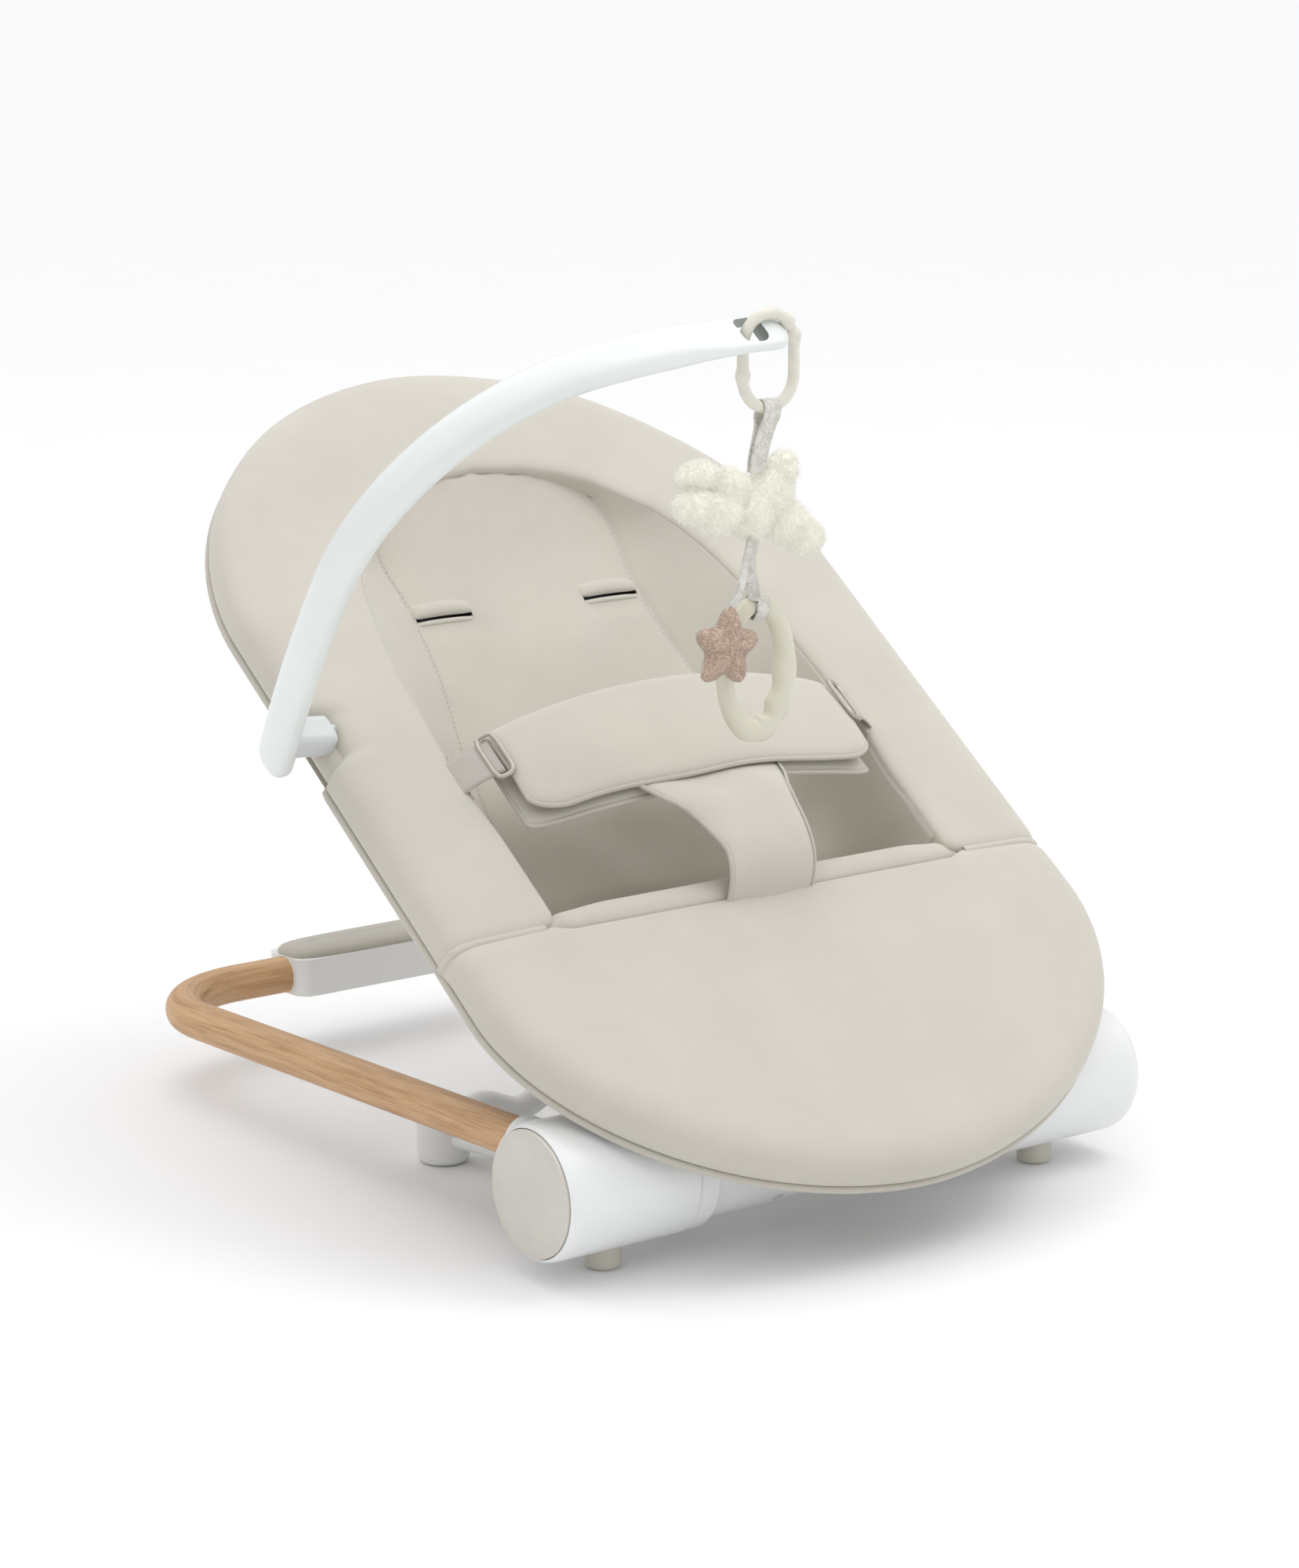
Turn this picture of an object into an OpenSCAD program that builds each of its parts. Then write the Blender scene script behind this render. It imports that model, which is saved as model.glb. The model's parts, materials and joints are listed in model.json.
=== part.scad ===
// Bouncer seat: a padded seat on a tube frame, sprung on a floor base with wooden legs.
// Millimetres, +Z up. X runs across the seat, Y from the foot end to the head end.
// The origin is on the floor, under the middle of the hub's axis.

/* [Hub] */
// Distance between the outer faces of the two hub buttons
base_w = 470; // [460:1:480]
// Height of the hub's axis above the floor
hub_z = 58; // [56:1:62]
// Outer radius of the hub housings
hub_r = 44; // [43.5:0.5:46]
// Outer radius of the turning tube between the collars
core_r = 39; // [38:0.5:39.5]
// Radius of the steel axle
axle_r = 8; // [7:0.5:9]
// Radius of the round hub buttons
button_r = 40.7; // [40:0.1:41]
// Travel of a hub button
button_travel = 4; // [3:0.5:4]

/* [Base] */
// Distance of each wooden leg from the middle
leg_x = 205; // [200:1:208]
// Diameter of the wooden legs
leg_d = 26.7; // [25:0.1:28]
// Height of the leg's axis above the hub's axis
leg_rise = 19; // [16:1:20]
// Slope of the legs down to the rear, in degrees
leg_slope = 2.2; // [1.5:0.1:2.5]
// Distance of the rear bar from the hub's axis
rear_y = 522; // [500:1:540]
// Bend radius of the rear corners
bend_r = 78; // [70:1:90]
// Length of the pedal housing
pedal_w = 176; // [160:1:190]
// Depth of the pedal housing
pedal_depth = 50; // [46:1:54]
// Height of the pedal housing
pedal_h = 27; // [26:1:30]

/* [Stand] */
// Distance of the middle feet from the hub's axis
stand_y = 236; // [225:1:245]
// Distance of each middle foot from the middle
stand_x = 140; // [135:1:145]
// Diameter of the middle feet
stand_foot_d = 36; // [32:1:38]

/* [Seat] */
// Slope of the seat's rim from the horizontal
seat_angle = 35; // [33:0.5:37]
// Half the width of the seat
seat_half = 243; // [238:1:246]
// Reach of the foot end below the hub's axis, along the slope
foot_reach = 91; // [85:1:95]
// Reach of the head end above the hub's axis, along the slope
head_reach = 652; // [640:1:660]
// Height of the frame tube's axis above the hub's axis, square to the slope
rim_n = 56; // [55:0.5:58]
// Radius of the frame tube
tube_r = 8; // [7:0.5:8]
// Distance of the harness slots along the slope
slot_t = 440; // [430:1:450]
// Distance between the middles of the two harness slots
slot_pitch = 141; // [135:1:145]

/* [Toy bar] */
// Place of the toy bar along the slope
bar_t = 330; // [325:1:335]
// Outermost place of the toy bar's middle line
bar_side = 275; // [272:1:278]
// Height of the toy bar's middle line at its tip
bar_top = 391; // [385:1:395]
// Width of the toy bar
bar_w = 30; // [28:1:32]
// Thickness of the toy bar
bar_th = 18; // [16:1:18]

/* [Hidden] */
$fn = 64;

// Colours
white = [0.93, 0.94, 0.94];
oak = [0.78, 0.6, 0.4];
champagne = [0.72, 0.7, 0.65];
fabric = [0.8, 0.76, 0.7];
steel = [0.62, 0.63, 0.65];
rubber = [0.66, 0.62, 0.54];

// Gaps: a running fit on a shaft, and the space kept around soft parts
run = 0.05;
soft = 0.6;

// Hub layout along X, measured from the middle
button_face = base_w / 2;
button_back = button_face - 11;
button_floor = button_back - button_travel - 1;
collar_in = 118;
collar_out = 133;
chamber_out = 186;
bush_out = 206;
neck_r = 30;
disc_r = 28;
disc_in = 138;
disc_out = 146;
lock_r = 24;
lock_angle = 225;
pin_r = 1.8;
recline_step = 11;
leg_start = 20;

// Direction of the core's screws, as an angle from +Y
screw_dir = 229;

// Seat layout in the sloping frame: t runs along the slope, n square to it
foot_c = 95;
head_c = 430;
split_t = 130;
tube_in = 14;
pad_n = rim_n + tube_r + soft;
pad_top = 80;
bolster_in = 158;
back_low = [190, -6];
back_high = [540, 46];
back_rise = atan((back_high[1] - back_low[1]) / (back_high[0] - back_low[0]));
pad_th = 14;
board_th = 3;
slot_w = 51;
slot_h = 9;
belt_t = 259;
pivot_n = 74;
cross_t = 62;

// Toy bar layout: three arcs that meet smoothly
side_r = 1100;
shoulder_r = 170;
shoulder_n = 210;
tip_x = -9;
slot_run = [-41.5, -22];
shoulder_x = shoulder_r - bar_side;
crown_r = (pow(tip_x - shoulder_x, 2) + pow(bar_top - shoulder_n, 2) - pow(shoulder_r, 2))
  / (2 * (bar_top - shoulder_n - shoulder_r));
crown_n = bar_top - crown_r;
crown_a = atan2(shoulder_n - crown_n, shoulder_x - tip_x);
bar_foot_x = bar_side - side_r + sqrt(pow(side_r, 2) - pow(shoulder_n - pivot_n, 2));

// Toys hang from the link, straight below the hole near the toy bar's tip
tip_y = bar_t * cos(seat_angle) - bar_top * sin(seat_angle);
tip_z = hub_z + bar_t * sin(seat_angle) + bar_top * cos(seat_angle);
link_tube = 3.75;
link_r = 20.25;
link_run = 19;
link_x = -16;
link_top = tip_z + 12;
link_bottom = link_top - 2 * link_r - link_run;
plush_x = link_x - 11;
plush_z = link_bottom - 62;
plush_low = plush_z - 27;
knot_z = plush_low - 24;
star_x = link_x - 40;
star_y = tip_y - 9;
star_z = knot_z - 34;
teether_x = link_x - 4;
teether_y = tip_y + 7;
teether_z = knot_z - 54;

// ---- Shared shapes ----

// A straight round bar from a to b
module rod(a, b, r) {
  d = b - a;
  length = norm(d);
  translate(a) rotate([0, acos(d[2] / length), atan2(d[1], d[0])]) cylinder(r = r, h = length);
}

// A round bar along X, between two X values, on the hub's axis
module barrel(x0, x1, r) {
  translate([x0, 0, hub_z]) rotate([0, 90, 0]) cylinder(r = r, h = x1 - x0);
}

// A shape turned about X: the profile is a list of [x, radius]
module turned(profile) {
  translate([0, 0, hub_z]) rotate([0, 90, 0]) rotate_extrude()
    polygon([for (p = profile) [p[1], p[0]]]);
}

// A round bar along X at an angle and distance around the hub's axis
module barrel_at(x0, x1, dist, a, r) {
  translate([0, dist * cos(a), dist * sin(a)]) barrel(x0, x1, r);
}

// Children in the seat's sloping frame: X across, t along the slope, n square to it
module in_seat() {
  translate([0, 0, hub_z]) rotate([seat_angle, 0, 0]) children();
}

// Children in the sloping plane of the wooden legs
module in_legs() {
  translate([0, 0, hub_z + leg_rise]) rotate([-leg_slope, 0, 0]) children();
}

// A rectangle with round corners
module round_rect(w, d, r) {
  square([w - 2 * r, d], center = true);
  square([w, d - 2 * r], center = true);
  for (x = [-1, 1], y = [-1, 1]) translate([x * (w / 2 - r), y * (d / 2 - r)]) circle(r);
}

// A tube swept along a flat path: half_h is its half width out of the plane, and half_w the one
// in the plane, as one number or one for each point
module swept(path, half_w, half_h, sides) {
  last = len(path) - 1;
  dirs = [for (i = [0:last]) path[min(i + 1, last)] - path[max(i - 1, 0)]];
  points = [
    for (i = [0:last], k = [0:sides - 1])
      let (d = dirs[i] / norm(dirs[i]), a = 360 * (k + 0.5) / sides,
           w = (is_list(half_w) ? half_w[i] : half_w) * cos(a))
        [path[i][0] - d[1] * w, path[i][1] + d[0] * w, half_h * sin(a)]
  ];
  walls = [
    for (i = [0:last - 1], k = [0:sides - 1])
      let (a = i * sides + k, b = i * sides + (k + 1) % sides)
        [a, a + sides, b + sides, b]
  ];
  ends = [[for (k = [0:sides - 1]) k], [for (k = [sides - 1:-1:0]) last * sides + k]];
  polyhedron(points, concat(walls, ends), convexity = 6);
}

// Points on an ellipse from angle a0 to a1
function arc_points(c, rx, ry, a0, a1, count) =
  [for (i = [0:count]) let (a = a0 + (a1 - a0) * i / count) [c[0] + rx * cos(a), c[1] + ry * sin(a)]];

// The seat's outline pulled in by a distance: the foot loop and the head loop
function foot_loop(inset) =
  arc_points([0, foot_c], seat_half - inset, foot_c + foot_reach - inset, 180, 360, 30);
function head_loop(inset) =
  arc_points([0, head_c], seat_half - inset, head_reach - head_c - inset, 0, 180, 30);

// A slab of the seat's outline between two distances along the slope
module seat_slab(inset, t0, t1, n0, n1) {
  intersection() {
    translate([0, 0, n0]) linear_extrude(n1 - n0)
      polygon(concat(foot_loop(inset), head_loop(inset)));
    translate([-seat_half, t0, n0]) cube([2 * seat_half, t1 - t0, n1 - n0]);
  }
}

// A band of even thickness along a chain of points
module band(points, th) {
  last = len(points) - 1;
  dirs = [for (i = [0:last]) points[min(i + 1, last)] - points[max(i - 1, 0)]];
  sides = [for (i = [0:last]) [-dirs[i][1], dirs[i][0]] / norm(dirs[i]) * th / 2];
  polygon(concat(
    [for (i = [0:last]) points[i] + sides[i]],
    [for (i = [last:-1:0]) points[i] - sides[i]]
  ));
}

// Children laid on the back rest: origin at its low edge, Y up the rest, Z out of it
module on_back() {
  in_seat() translate([0, back_low[0], back_low[1]]) rotate([back_rise, 0, 0]) children();
}

// A coil spring around X
module coil(x0, x1, coil_r, wire_r, turns) {
  steps = 14;
  sides = 6;
  last = turns * steps;
  points = [
    for (i = [0:last], k = [0:sides - 1])
      let (a = 360 * i / steps, b = 360 * k / sides, r = coil_r + wire_r * cos(b))
        [x0 + wire_r + (x1 - x0 - 2 * wire_r) * i / last + wire_r * sin(b),
         r * cos(a), hub_z + r * sin(a)]
  ];
  walls = [
    for (i = [0:last - 1], k = [0:sides - 1])
      let (a = i * sides + k, b = i * sides + (k + 1) % sides)
        [a, b, b + sides, a + sides]
  ];
  ends = [[for (k = [sides - 1:-1:0]) k], [for (k = [0:sides - 1]) last * sides + k]];
  polyhedron(points, concat(walls, ends), convexity = 8);
}

// ---- Base ----

// Hub housing on the +X side: button recess, bush seat, spring chamber and leg socket
module hub_housing() {
  difference() {
    union() {
      turned([
        [collar_out, 0], [collar_out, hub_r - 2], [collar_out + 2, hub_r],
        [button_face - 9, hub_r], [button_face - 5, hub_r - 0.7], [button_face - 2.5, hub_r - 2],
        [button_face - 2.5, 0]
      ]);
      in_legs() rod([leg_x, 0, 0], [leg_x, 46, 0], leg_d / 2 + 3.4);
    }
    barrel(collar_out - 1, chamber_out, 34);
    barrel(chamber_out - 1, bush_out, axle_r + 4);
    barrel(bush_out - 1, button_floor, 16);
    barrel(button_floor, button_face, button_r + 0.5);
    in_legs() rod([leg_x, leg_start, 0], [leg_x, 60, 0], leg_d / 2);
    barrel_at(chamber_out - 1, button_face, lock_r, lock_angle, 3.4);
    translate([178.6, 0, -1]) cylinder(r = 8, h = 21);
  }
}

module hub_right() {
  color(white) hub_housing();
}

module hub_left() {
  color(white) mirror([1, 0, 0]) hub_housing();
}

// Plain bearings that carry the axle in the housings
module hub_bushes() {
  color("dimgray") for (s = [-1, 1]) difference() {
    barrel(s > 0 ? chamber_out : -bush_out, s > 0 ? bush_out : -chamber_out, axle_r + 4);
    barrel(-base_w, base_w, axle_r + run);
  }
}

// Torsion springs that bring the seat back up
module bounce_springs() {
  color(steel) for (s = [-1, 1]) scale([s, 1, 1]) coil(150, 184, 15, 2, 7);
}

// Light springs behind the hub buttons
module button_springs() {
  color(steel) for (s = [-1, 1]) scale([s, 1, 1])
    coil(bush_out + 0.4, button_floor - 0.4, 12, 1, 4);
}

// Rubber feet under the hub housings
module front_feet() {
  color(rubber) for (s = [-1, 1]) translate([s * 178.6, 0, 0]) {
    difference() {
      rotate_extrude() polygon([[0, 0], [9.5, 0], [11.5, 2], [11.5, 18], [0, 18]]);
      translate([-15, 0, hub_z]) rotate([0, 90, 0]) cylinder(r = hub_r, h = 30);
    }
    cylinder(r = 8, h = 20);
  }
}

// Bent wooden leg on the +X side
module leg() {
  corner = [leg_x - bend_r, rear_y - bend_r];
  in_legs() difference() {
    union() {
      rod([leg_x, leg_start, 0], [leg_x, corner[1], 0], leg_d / 2);
      translate([corner[0], corner[1], 0]) rotate_extrude(angle = 90)
        translate([bend_r, 0]) circle(leg_d / 2);
      rod([pedal_w / 2, rear_y, 0], [corner[0], rear_y, 0], leg_d / 2);
    }
    rod([leg_x, leg_start - 4, 0], [leg_x, 60, 0], axle_r);
    rod([pedal_w / 2 - 2, rear_y, 0], [pedal_w / 2 + 32, rear_y, 0], axle_r);
  }
}

module leg_right() {
  color(oak) leg();
}

module leg_left() {
  color(oak) mirror([1, 0, 0]) leg();
}

// Steel spigots inside the front ends of the legs
module leg_spigots() {
  color(steel) in_legs() for (s = [-1, 1]) rod([s * leg_x, leg_start, 0], [s * leg_x, 60, 0], axle_r);
}

// Steel tube that joins the two wooden ends inside the pedal
module pedal_tube() {
  reach = pedal_w / 2 + 32;
  color(steel) in_legs() difference() {
    rod([-reach, rear_y, 0], [reach, rear_y, 0], axle_r);
    rod([-reach - 1, rear_y, 0], [reach + 1, rear_y, 0], axle_r - 1.5);
  }
}

// White housing over the tube, with a rib at each screw
module pedal_shell() {
  wall = 2.5;
  color(white) in_legs() translate([0, rear_y, -pedal_h / 2]) difference() {
    linear_extrude(pedal_h) round_rect(pedal_w, pedal_depth, 11);
    translate([0, 0, -1]) linear_extrude(pedal_h - wall + 1)
      difference() {
        round_rect(pedal_w - 2 * wall, pedal_depth - 2 * wall, 9);
        for (s = [-1, 1]) translate([s * 55, 0]) square([8, pedal_depth], center = true);
      }
    translate([0, 0, -1]) linear_extrude(3) round_rect(pedal_w - 2 * wall, pedal_depth - 2 * wall, 9);
    translate([-pedal_w, 0, pedal_h / 2]) rotate([0, 90, 0]) cylinder(r = axle_r, h = 2 * pedal_w);
    for (s = [-1, 1], y = [-1, 1]) translate([s * 55, y * 15, 0]) cylinder(r = 1.6, h = 12);
  }
}

// Cover plate that closes the pedal from below
module pedal_plate() {
  color(white) in_legs() translate([0, rear_y, -pedal_h / 2]) difference() {
    linear_extrude(2) round_rect(pedal_w - 5.4, pedal_depth - 5.4, 8.8);
    for (s = [-1, 1], y = [-1, 1]) translate([s * 55, y * 15, -1]) cylinder(r = 1.6, h = 12);
  }
}

// Soft crowned pad on the pedal
module pedal_pad() {
  color(fabric) in_legs() translate([0, rear_y, pedal_h / 2]) {
    linear_extrude(4) round_rect(pedal_w - 3, pedal_depth - 3, 19);
    translate([0, 0, 4]) linear_extrude(2.4) round_rect(pedal_w - 9, pedal_depth - 9, 17);
    translate([0, 0, 6.4]) linear_extrude(1.4) round_rect(pedal_w - 22, pedal_depth - 20, 13);
  }
}

// Four screws that hold the cover plate
module pedal_screws() {
  color(steel) in_legs() for (s = [-1, 1], y = [-1, 1])
    translate([s * 55, rear_y + y * 15, -pedal_h / 2]) {
      translate([0, 0, -1.2]) cylinder(r = 3, h = 1.2);
      translate([0, 0, -0.1]) cylinder(r = 1.6, h = 11);
    }
}

// Stand arm on the +X side: a fixed collar on the hub and a bar back to the middle foot
module stand_arm() {
  mid = (collar_in + collar_out) / 2;
  difference() {
    union() {
      turned([
        [collar_in + 0.4, 0], [collar_in + 0.4, hub_r - 2], [collar_in + 2, hub_r - 0.5],
        [collar_out - 1.5, hub_r - 0.5], [collar_out, hub_r - 2], [collar_out, 0]
      ]);
      rod([mid, 30, hub_z - 26], [stand_x, stand_y, 18], 6.5);
    }
    barrel(collar_in - 10, collar_out + 20, neck_r + 0.8);
  }
}

module stand_arm_right() {
  color(white) stand_arm();
}

module stand_arm_left() {
  color(white) mirror([1, 0, 0]) stand_arm();
}

// Wavy cross bar between the middle feet
module stand_bar() {
  path = [for (i = [0:56]) let (x = stand_x * (i / 28 - 1)) [x, 29.5 + 4.5 * cos(6 * (abs(x) - 110))]];
  color(white) translate([0, stand_y, 0]) rotate([90, 0, 0]) swept(path, 9, 9, 12);
}

// Round feet of the stand
module stand_feet() {
  r = stand_foot_d / 2;
  color(white) for (s = [-1, 1]) translate([s * stand_x, stand_y, 0])
    rotate_extrude() polygon([
      [0, 0], [r - 6, 0], [r - 2.5, 1], [r - 0.7, 3], [r, 6], [r, 27], [r - 1.5, 29], [r - 5, 30], [0, 30]
    ]);
}

// ---- Sprung axle ----

module axle() {
  color(steel) barrel(-bush_out, bush_out, axle_r);
}

// Discs keyed to the axle, with one hole for each recline position
module recline_discs() {
  color("silver") for (s = [-1, 1]) difference() {
    barrel(s > 0 ? disc_in : -disc_out, s > 0 ? disc_out : -disc_in, disc_r);
    barrel(-base_w, base_w, axle_r);
    for (step = [-recline_step, 0, recline_step])
      barrel_at(-base_w, base_w, lock_r, lock_angle + step, pin_r + 0.2);
  }
}

// ---- Hub buttons ----

// Crowned button on the +X side, with the stem that pushes the lock open
module hub_button() {
  turned([
    [button_back, 0], [button_back, button_r], [button_face - 1.2, button_r],
    [button_face - 0.3, button_r - 0.7], [button_face + 0.9, button_r - 5],
    [button_face + 2, button_r - 14], [button_face + 2.7, button_r - 26], [button_face + 3, 0]
  ]);
  barrel_at(disc_out + 5, button_back + 1, lock_r, lock_angle, 3);
}

module button_right() {
  color(champagne) hub_button();
}

module button_left() {
  color(champagne) mirror([1, 0, 0]) hub_button();
}

// ---- Turning core ----

// Half of the turning tube: side is 1 for the half that the screws enter, -1 for the other
module core_half(side) {
  reach = core_r + 5;
  intersection() {
    difference() {
      union() {
        barrel(-collar_in, collar_in, core_r);
        barrel(1 - disc_in, disc_in - 1, neck_r);
      }
      for (s = [-1, 1]) barrel(s > 0 ? 8 : 8 - collar_in, s > 0 ? collar_in - 8 : -8, core_r - 4);
      barrel(-base_w, base_w, axle_r + run);
      barrel_at(-base_w, base_w, lock_r, lock_angle, pin_r);
    }
    translate([-base_w / 2, 0, hub_z]) rotate([screw_dir - 90, 0, 0])
      translate([0, -reach, side > 0 ? 0 : -reach]) cube([base_w, 2 * reach, reach]);
  }
}

// Children on the line of one of the core's screws, with Z pointing out of the core
module screw_line(s) {
  translate([s * 60, 0, hub_z]) rotate([screw_dir - 90, 0, 0]) children();
}

module core_upper() {
  color(white) core_half(-1);
}

module core_lower() {
  color(white) difference() {
    union() {
      core_half(1);
      for (s = [-1, 1]) screw_line(s) translate([0, 0, 10]) cylinder(r = 8, h = core_r - 12);
    }
    for (s = [-1, 1]) screw_line(s) translate([0, 0, 14]) cylinder(r = 4, h = 60);
  }
}

// Screws that close the core
module core_screws() {
  color(steel) for (s = [-1, 1]) screw_line(s) translate([0, 0, 14]) cylinder(r = 4, h = 21);
}

// Sprung pins that lock the recline
module lock_plungers() {
  color(steel) for (s = [-1, 1])
    barrel_at(s > 0 ? collar_in + 4 : 1 - disc_in, s > 0 ? disc_in - 1 : -collar_in - 4,
      lock_r, lock_angle, pin_r);
}

// Arm on the +X side that carries the seat's frame on the core
module cradle_arm() {
  in_seat() translate([69, 0, 0]) rotate([90, 0, 90]) difference() {
    linear_extrude(12) polygon([
      [-22, 0], [22, 0], [36, 20], [cross_t + 10, rim_n - 16], [cross_t + 13, rim_n],
      [cross_t + 12, rim_n + 4], [-40, rim_n + 6], [-66, rim_n + 6], [-68, rim_n - 6], [-40, 40],
      [-30, 24]
    ]);
    translate([0, 0, -1]) cylinder(r = core_r, h = 14);
    translate([cross_t, rim_n, -1]) cylinder(r = tube_r, h = 14);
  }
}

module cradle_arm_right() {
  color(white) cradle_arm();
}

module cradle_arm_left() {
  color(white) mirror([1, 0, 0]) cradle_arm();
}

// ---- Seat frame ----

// Tube across the frame, held in the cradle arms
module cross_tube() {
  reach = 218;
  color(steel) in_seat() difference() {
    rod([-reach, cross_t, rim_n], [reach, cross_t, rim_n], tube_r);
    rod([-reach - 1, cross_t, rim_n], [reach + 1, cross_t, rim_n], tube_r - 1.5);
  }
}

// Foot loop of the frame tube
module frame_lower() {
  side = seat_half - tube_in;
  path = concat([[-side, split_t]], foot_loop(tube_in), [[side, split_t]]);
  color(steel) in_seat() translate([0, 0, rim_n]) swept(path, tube_r, tube_r, 12);
}

// Head loop of the frame tube
module frame_upper() {
  side = seat_half - tube_in;
  path = concat([[side, split_t + 0.2]], head_loop(tube_in), [[-side, split_t + 0.2]]);
  color(steel) in_seat() translate([0, 0, rim_n]) swept(path, tube_r, tube_r, 12);
}

// Sleeves that join the two loops, pressed over the tube
module frame_sleeves() {
  side = seat_half - tube_in;
  color("dimgray") in_seat() for (s = [-1, 1]) difference() {
    rod([s * side, split_t - 22, rim_n], [s * side, split_t + 22, rim_n], tube_r + 0.5);
    rod([s * side, split_t - 30, rim_n], [s * side, split_t + 30, rim_n], tube_r);
  }
}

// Socket for the toy bar, clamped on the left side of the frame
module bar_socket() {
  side = seat_half - tube_in;
  color(white) in_seat() difference() {
    union() {
      translate([-side - 11, bar_t - 14, rim_n - 12]) cube([22, 28, 12 + tube_r + soft / 2]);
      rod([-side - 11, bar_t, pivot_n], [-bar_foot_x + bar_th / 2 + 1.8, bar_t, pivot_n], 10);
      translate([-side - 11, bar_t - 10, rim_n]) cube([10, 20, pivot_n - rim_n]);
    }
    rod([-side, bar_t - 20, rim_n], [-side, bar_t + 20, rim_n], tube_r);
    rod([-base_w, bar_t, pivot_n], [-side, bar_t, pivot_n], 5 + run);
  }
}

// ---- Seat cover ----

// Holes through the back rest for a harness
module slot_holes(grow) {
  up = (slot_t - back_low[0]) / cos(back_rise);
  for (s = [-1, 1]) translate([s * slot_pitch / 2, up, -20])
    linear_extrude(60) square([slot_w + grow, slot_h + grow], center = true);
}

// Stiff board inside the back rest
module back_board() {
  length = (back_high[0] - back_low[0]) / cos(back_rise);
  color("tan") on_back() difference() {
    translate([-140, 0, -board_th]) cube([280, length, board_th]);
    slot_holes(2);
  }
}

// Padding on the board
module back_pad() {
  length = (back_high[0] - back_low[0]) / cos(back_rise);
  color(fabric) on_back() difference() {
    translate([-148, 0, 0]) cube([296, length, pad_th]);
    slot_holes(0);
  }
}

// Stitched lips round the harness slots
module slot_trims() {
  up = (slot_t - back_low[0]) / cos(back_rise);
  color(fabric) on_back() for (s = [-1, 1]) translate([s * slot_pitch / 2, up, pad_th])
    linear_extrude(1.5) difference() {
      square([slot_w + 7, slot_h + 7], center = true);
      square([slot_w, slot_h], center = true);
    }
}

// Wide rounded panel at the foot end
module foot_panel() {
  color(fabric) in_seat() {
    seat_slab(1, -foot_reach, split_t - 1, pad_n, 72);
    seat_slab(9, -foot_reach, split_t - 1, 72, pad_top);
  }
}

// Padded side on the +X side
module bolster() {
  intersection() {
    translate([0, split_t, 0]) rotate([90, 0, 0]) mirror([0, 0, 1]) linear_extrude(340)
      polygon([
        [seat_half - 1, pad_n], [seat_half, 69], [seat_half - 3, 75], [seat_half - 14, 80],
        [seat_half - 40, 83], [180, 83], [bolster_in + 5, 81], [bolster_in, 76],
        [bolster_in, pad_n]
      ]);
    seat_slab(0.5, split_t, split_t + 338, pad_n, 90);
  }
}

module bolster_right() {
  color(fabric) in_seat() bolster();
}

// The left side has a cut-out for the toy bar's socket
module bolster_left() {
  color(fabric) in_seat() difference() {
    mirror([1, 0, 0]) bolster();
    translate([-seat_half - 5, bar_t - 36, pad_n - 5]) cube([26, 58, 40]);
  }
}

// Padded head end
module head_pad() {
  color(fabric) in_seat() {
    seat_slab(1, split_t + 339, head_reach, pad_n, 72);
    seat_slab(9, split_t + 339, head_reach, 72, pad_top);
  }
}

// Fabric pocket that the child sits in: front wall, floor and sides
module seat_pocket() {
  chain = [[138, 78], [131, 60], [119, 20], [118, -14], [126, -32], [142, -41], [162, -38], [186, -25]];
  edge = [[131, 60], [119, 20], [118, -14], [126, -32], [142, -41], [162, -38], [186, -25],
    [230, -14], [300, 0], [300, 60]];
  color(fabric) in_seat() {
    translate([-150, 0, 0]) rotate([90, 0, 90]) linear_extrude(300) band(chain, 3);
    for (s = [-1, 1]) translate([s > 0 ? 150 : -153, 0, 0]) rotate([90, 0, 90])
      linear_extrude(3) polygon(edge);
  }
}

// Strap between the legs, from the foot panel up to the belt
module crotch_strap() {
  chain = [
    [118, pad_top + 2.8], [129, pad_top + 4], [137, 94], [148, 104], [164, 108.5], [184, 109],
    [206, 105], [228, 101], [252, 102.5]
  ];
  color(fabric) in_seat() translate([-34, 0, 0]) rotate([90, 0, 90]) linear_extrude(68)
    band(chain, 2);
}

// Waist belt pad, bowed over the child
module belt_pad() {
  arc = [for (i = [0:16]) let (x = 17.5 * (i - 8)) [x, 112.5 - 16 * pow(x / 140, 2)]];
  color(fabric) in_seat() translate([0, belt_t + 40, 0]) rotate([90, 0, 0]) linear_extrude(80)
    band(arc, 13);
}

// Webbing between the sides and the belt
module belt_webbing() {
  color(fabric) in_seat() for (s = [-1, 1]) scale([s, 1, 1]) translate([0, belt_t + 26, 0])
    rotate([90, 0, 0]) linear_extrude(26) band([[172, 84.2], [160, 86], [150, 93], [141.5, 97]], 1.6);
}

// Metal loops that join the webbing to the belt pad
module belt_rings() {
  color(steel) in_seat() for (s = [-1, 1]) translate([s * 146, belt_t + 13, 95])
    rotate([0, s * 30, 0]) {
      for (t = [-16, 16]) rod([-7, t, 0], [7, t, 0], 1.5);
      for (x = [-7, 7]) rod([x, -17.5, 0], [x, 17.5, 0], 1.5);
    }
}

// ---- Toy bar and toys ----

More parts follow.
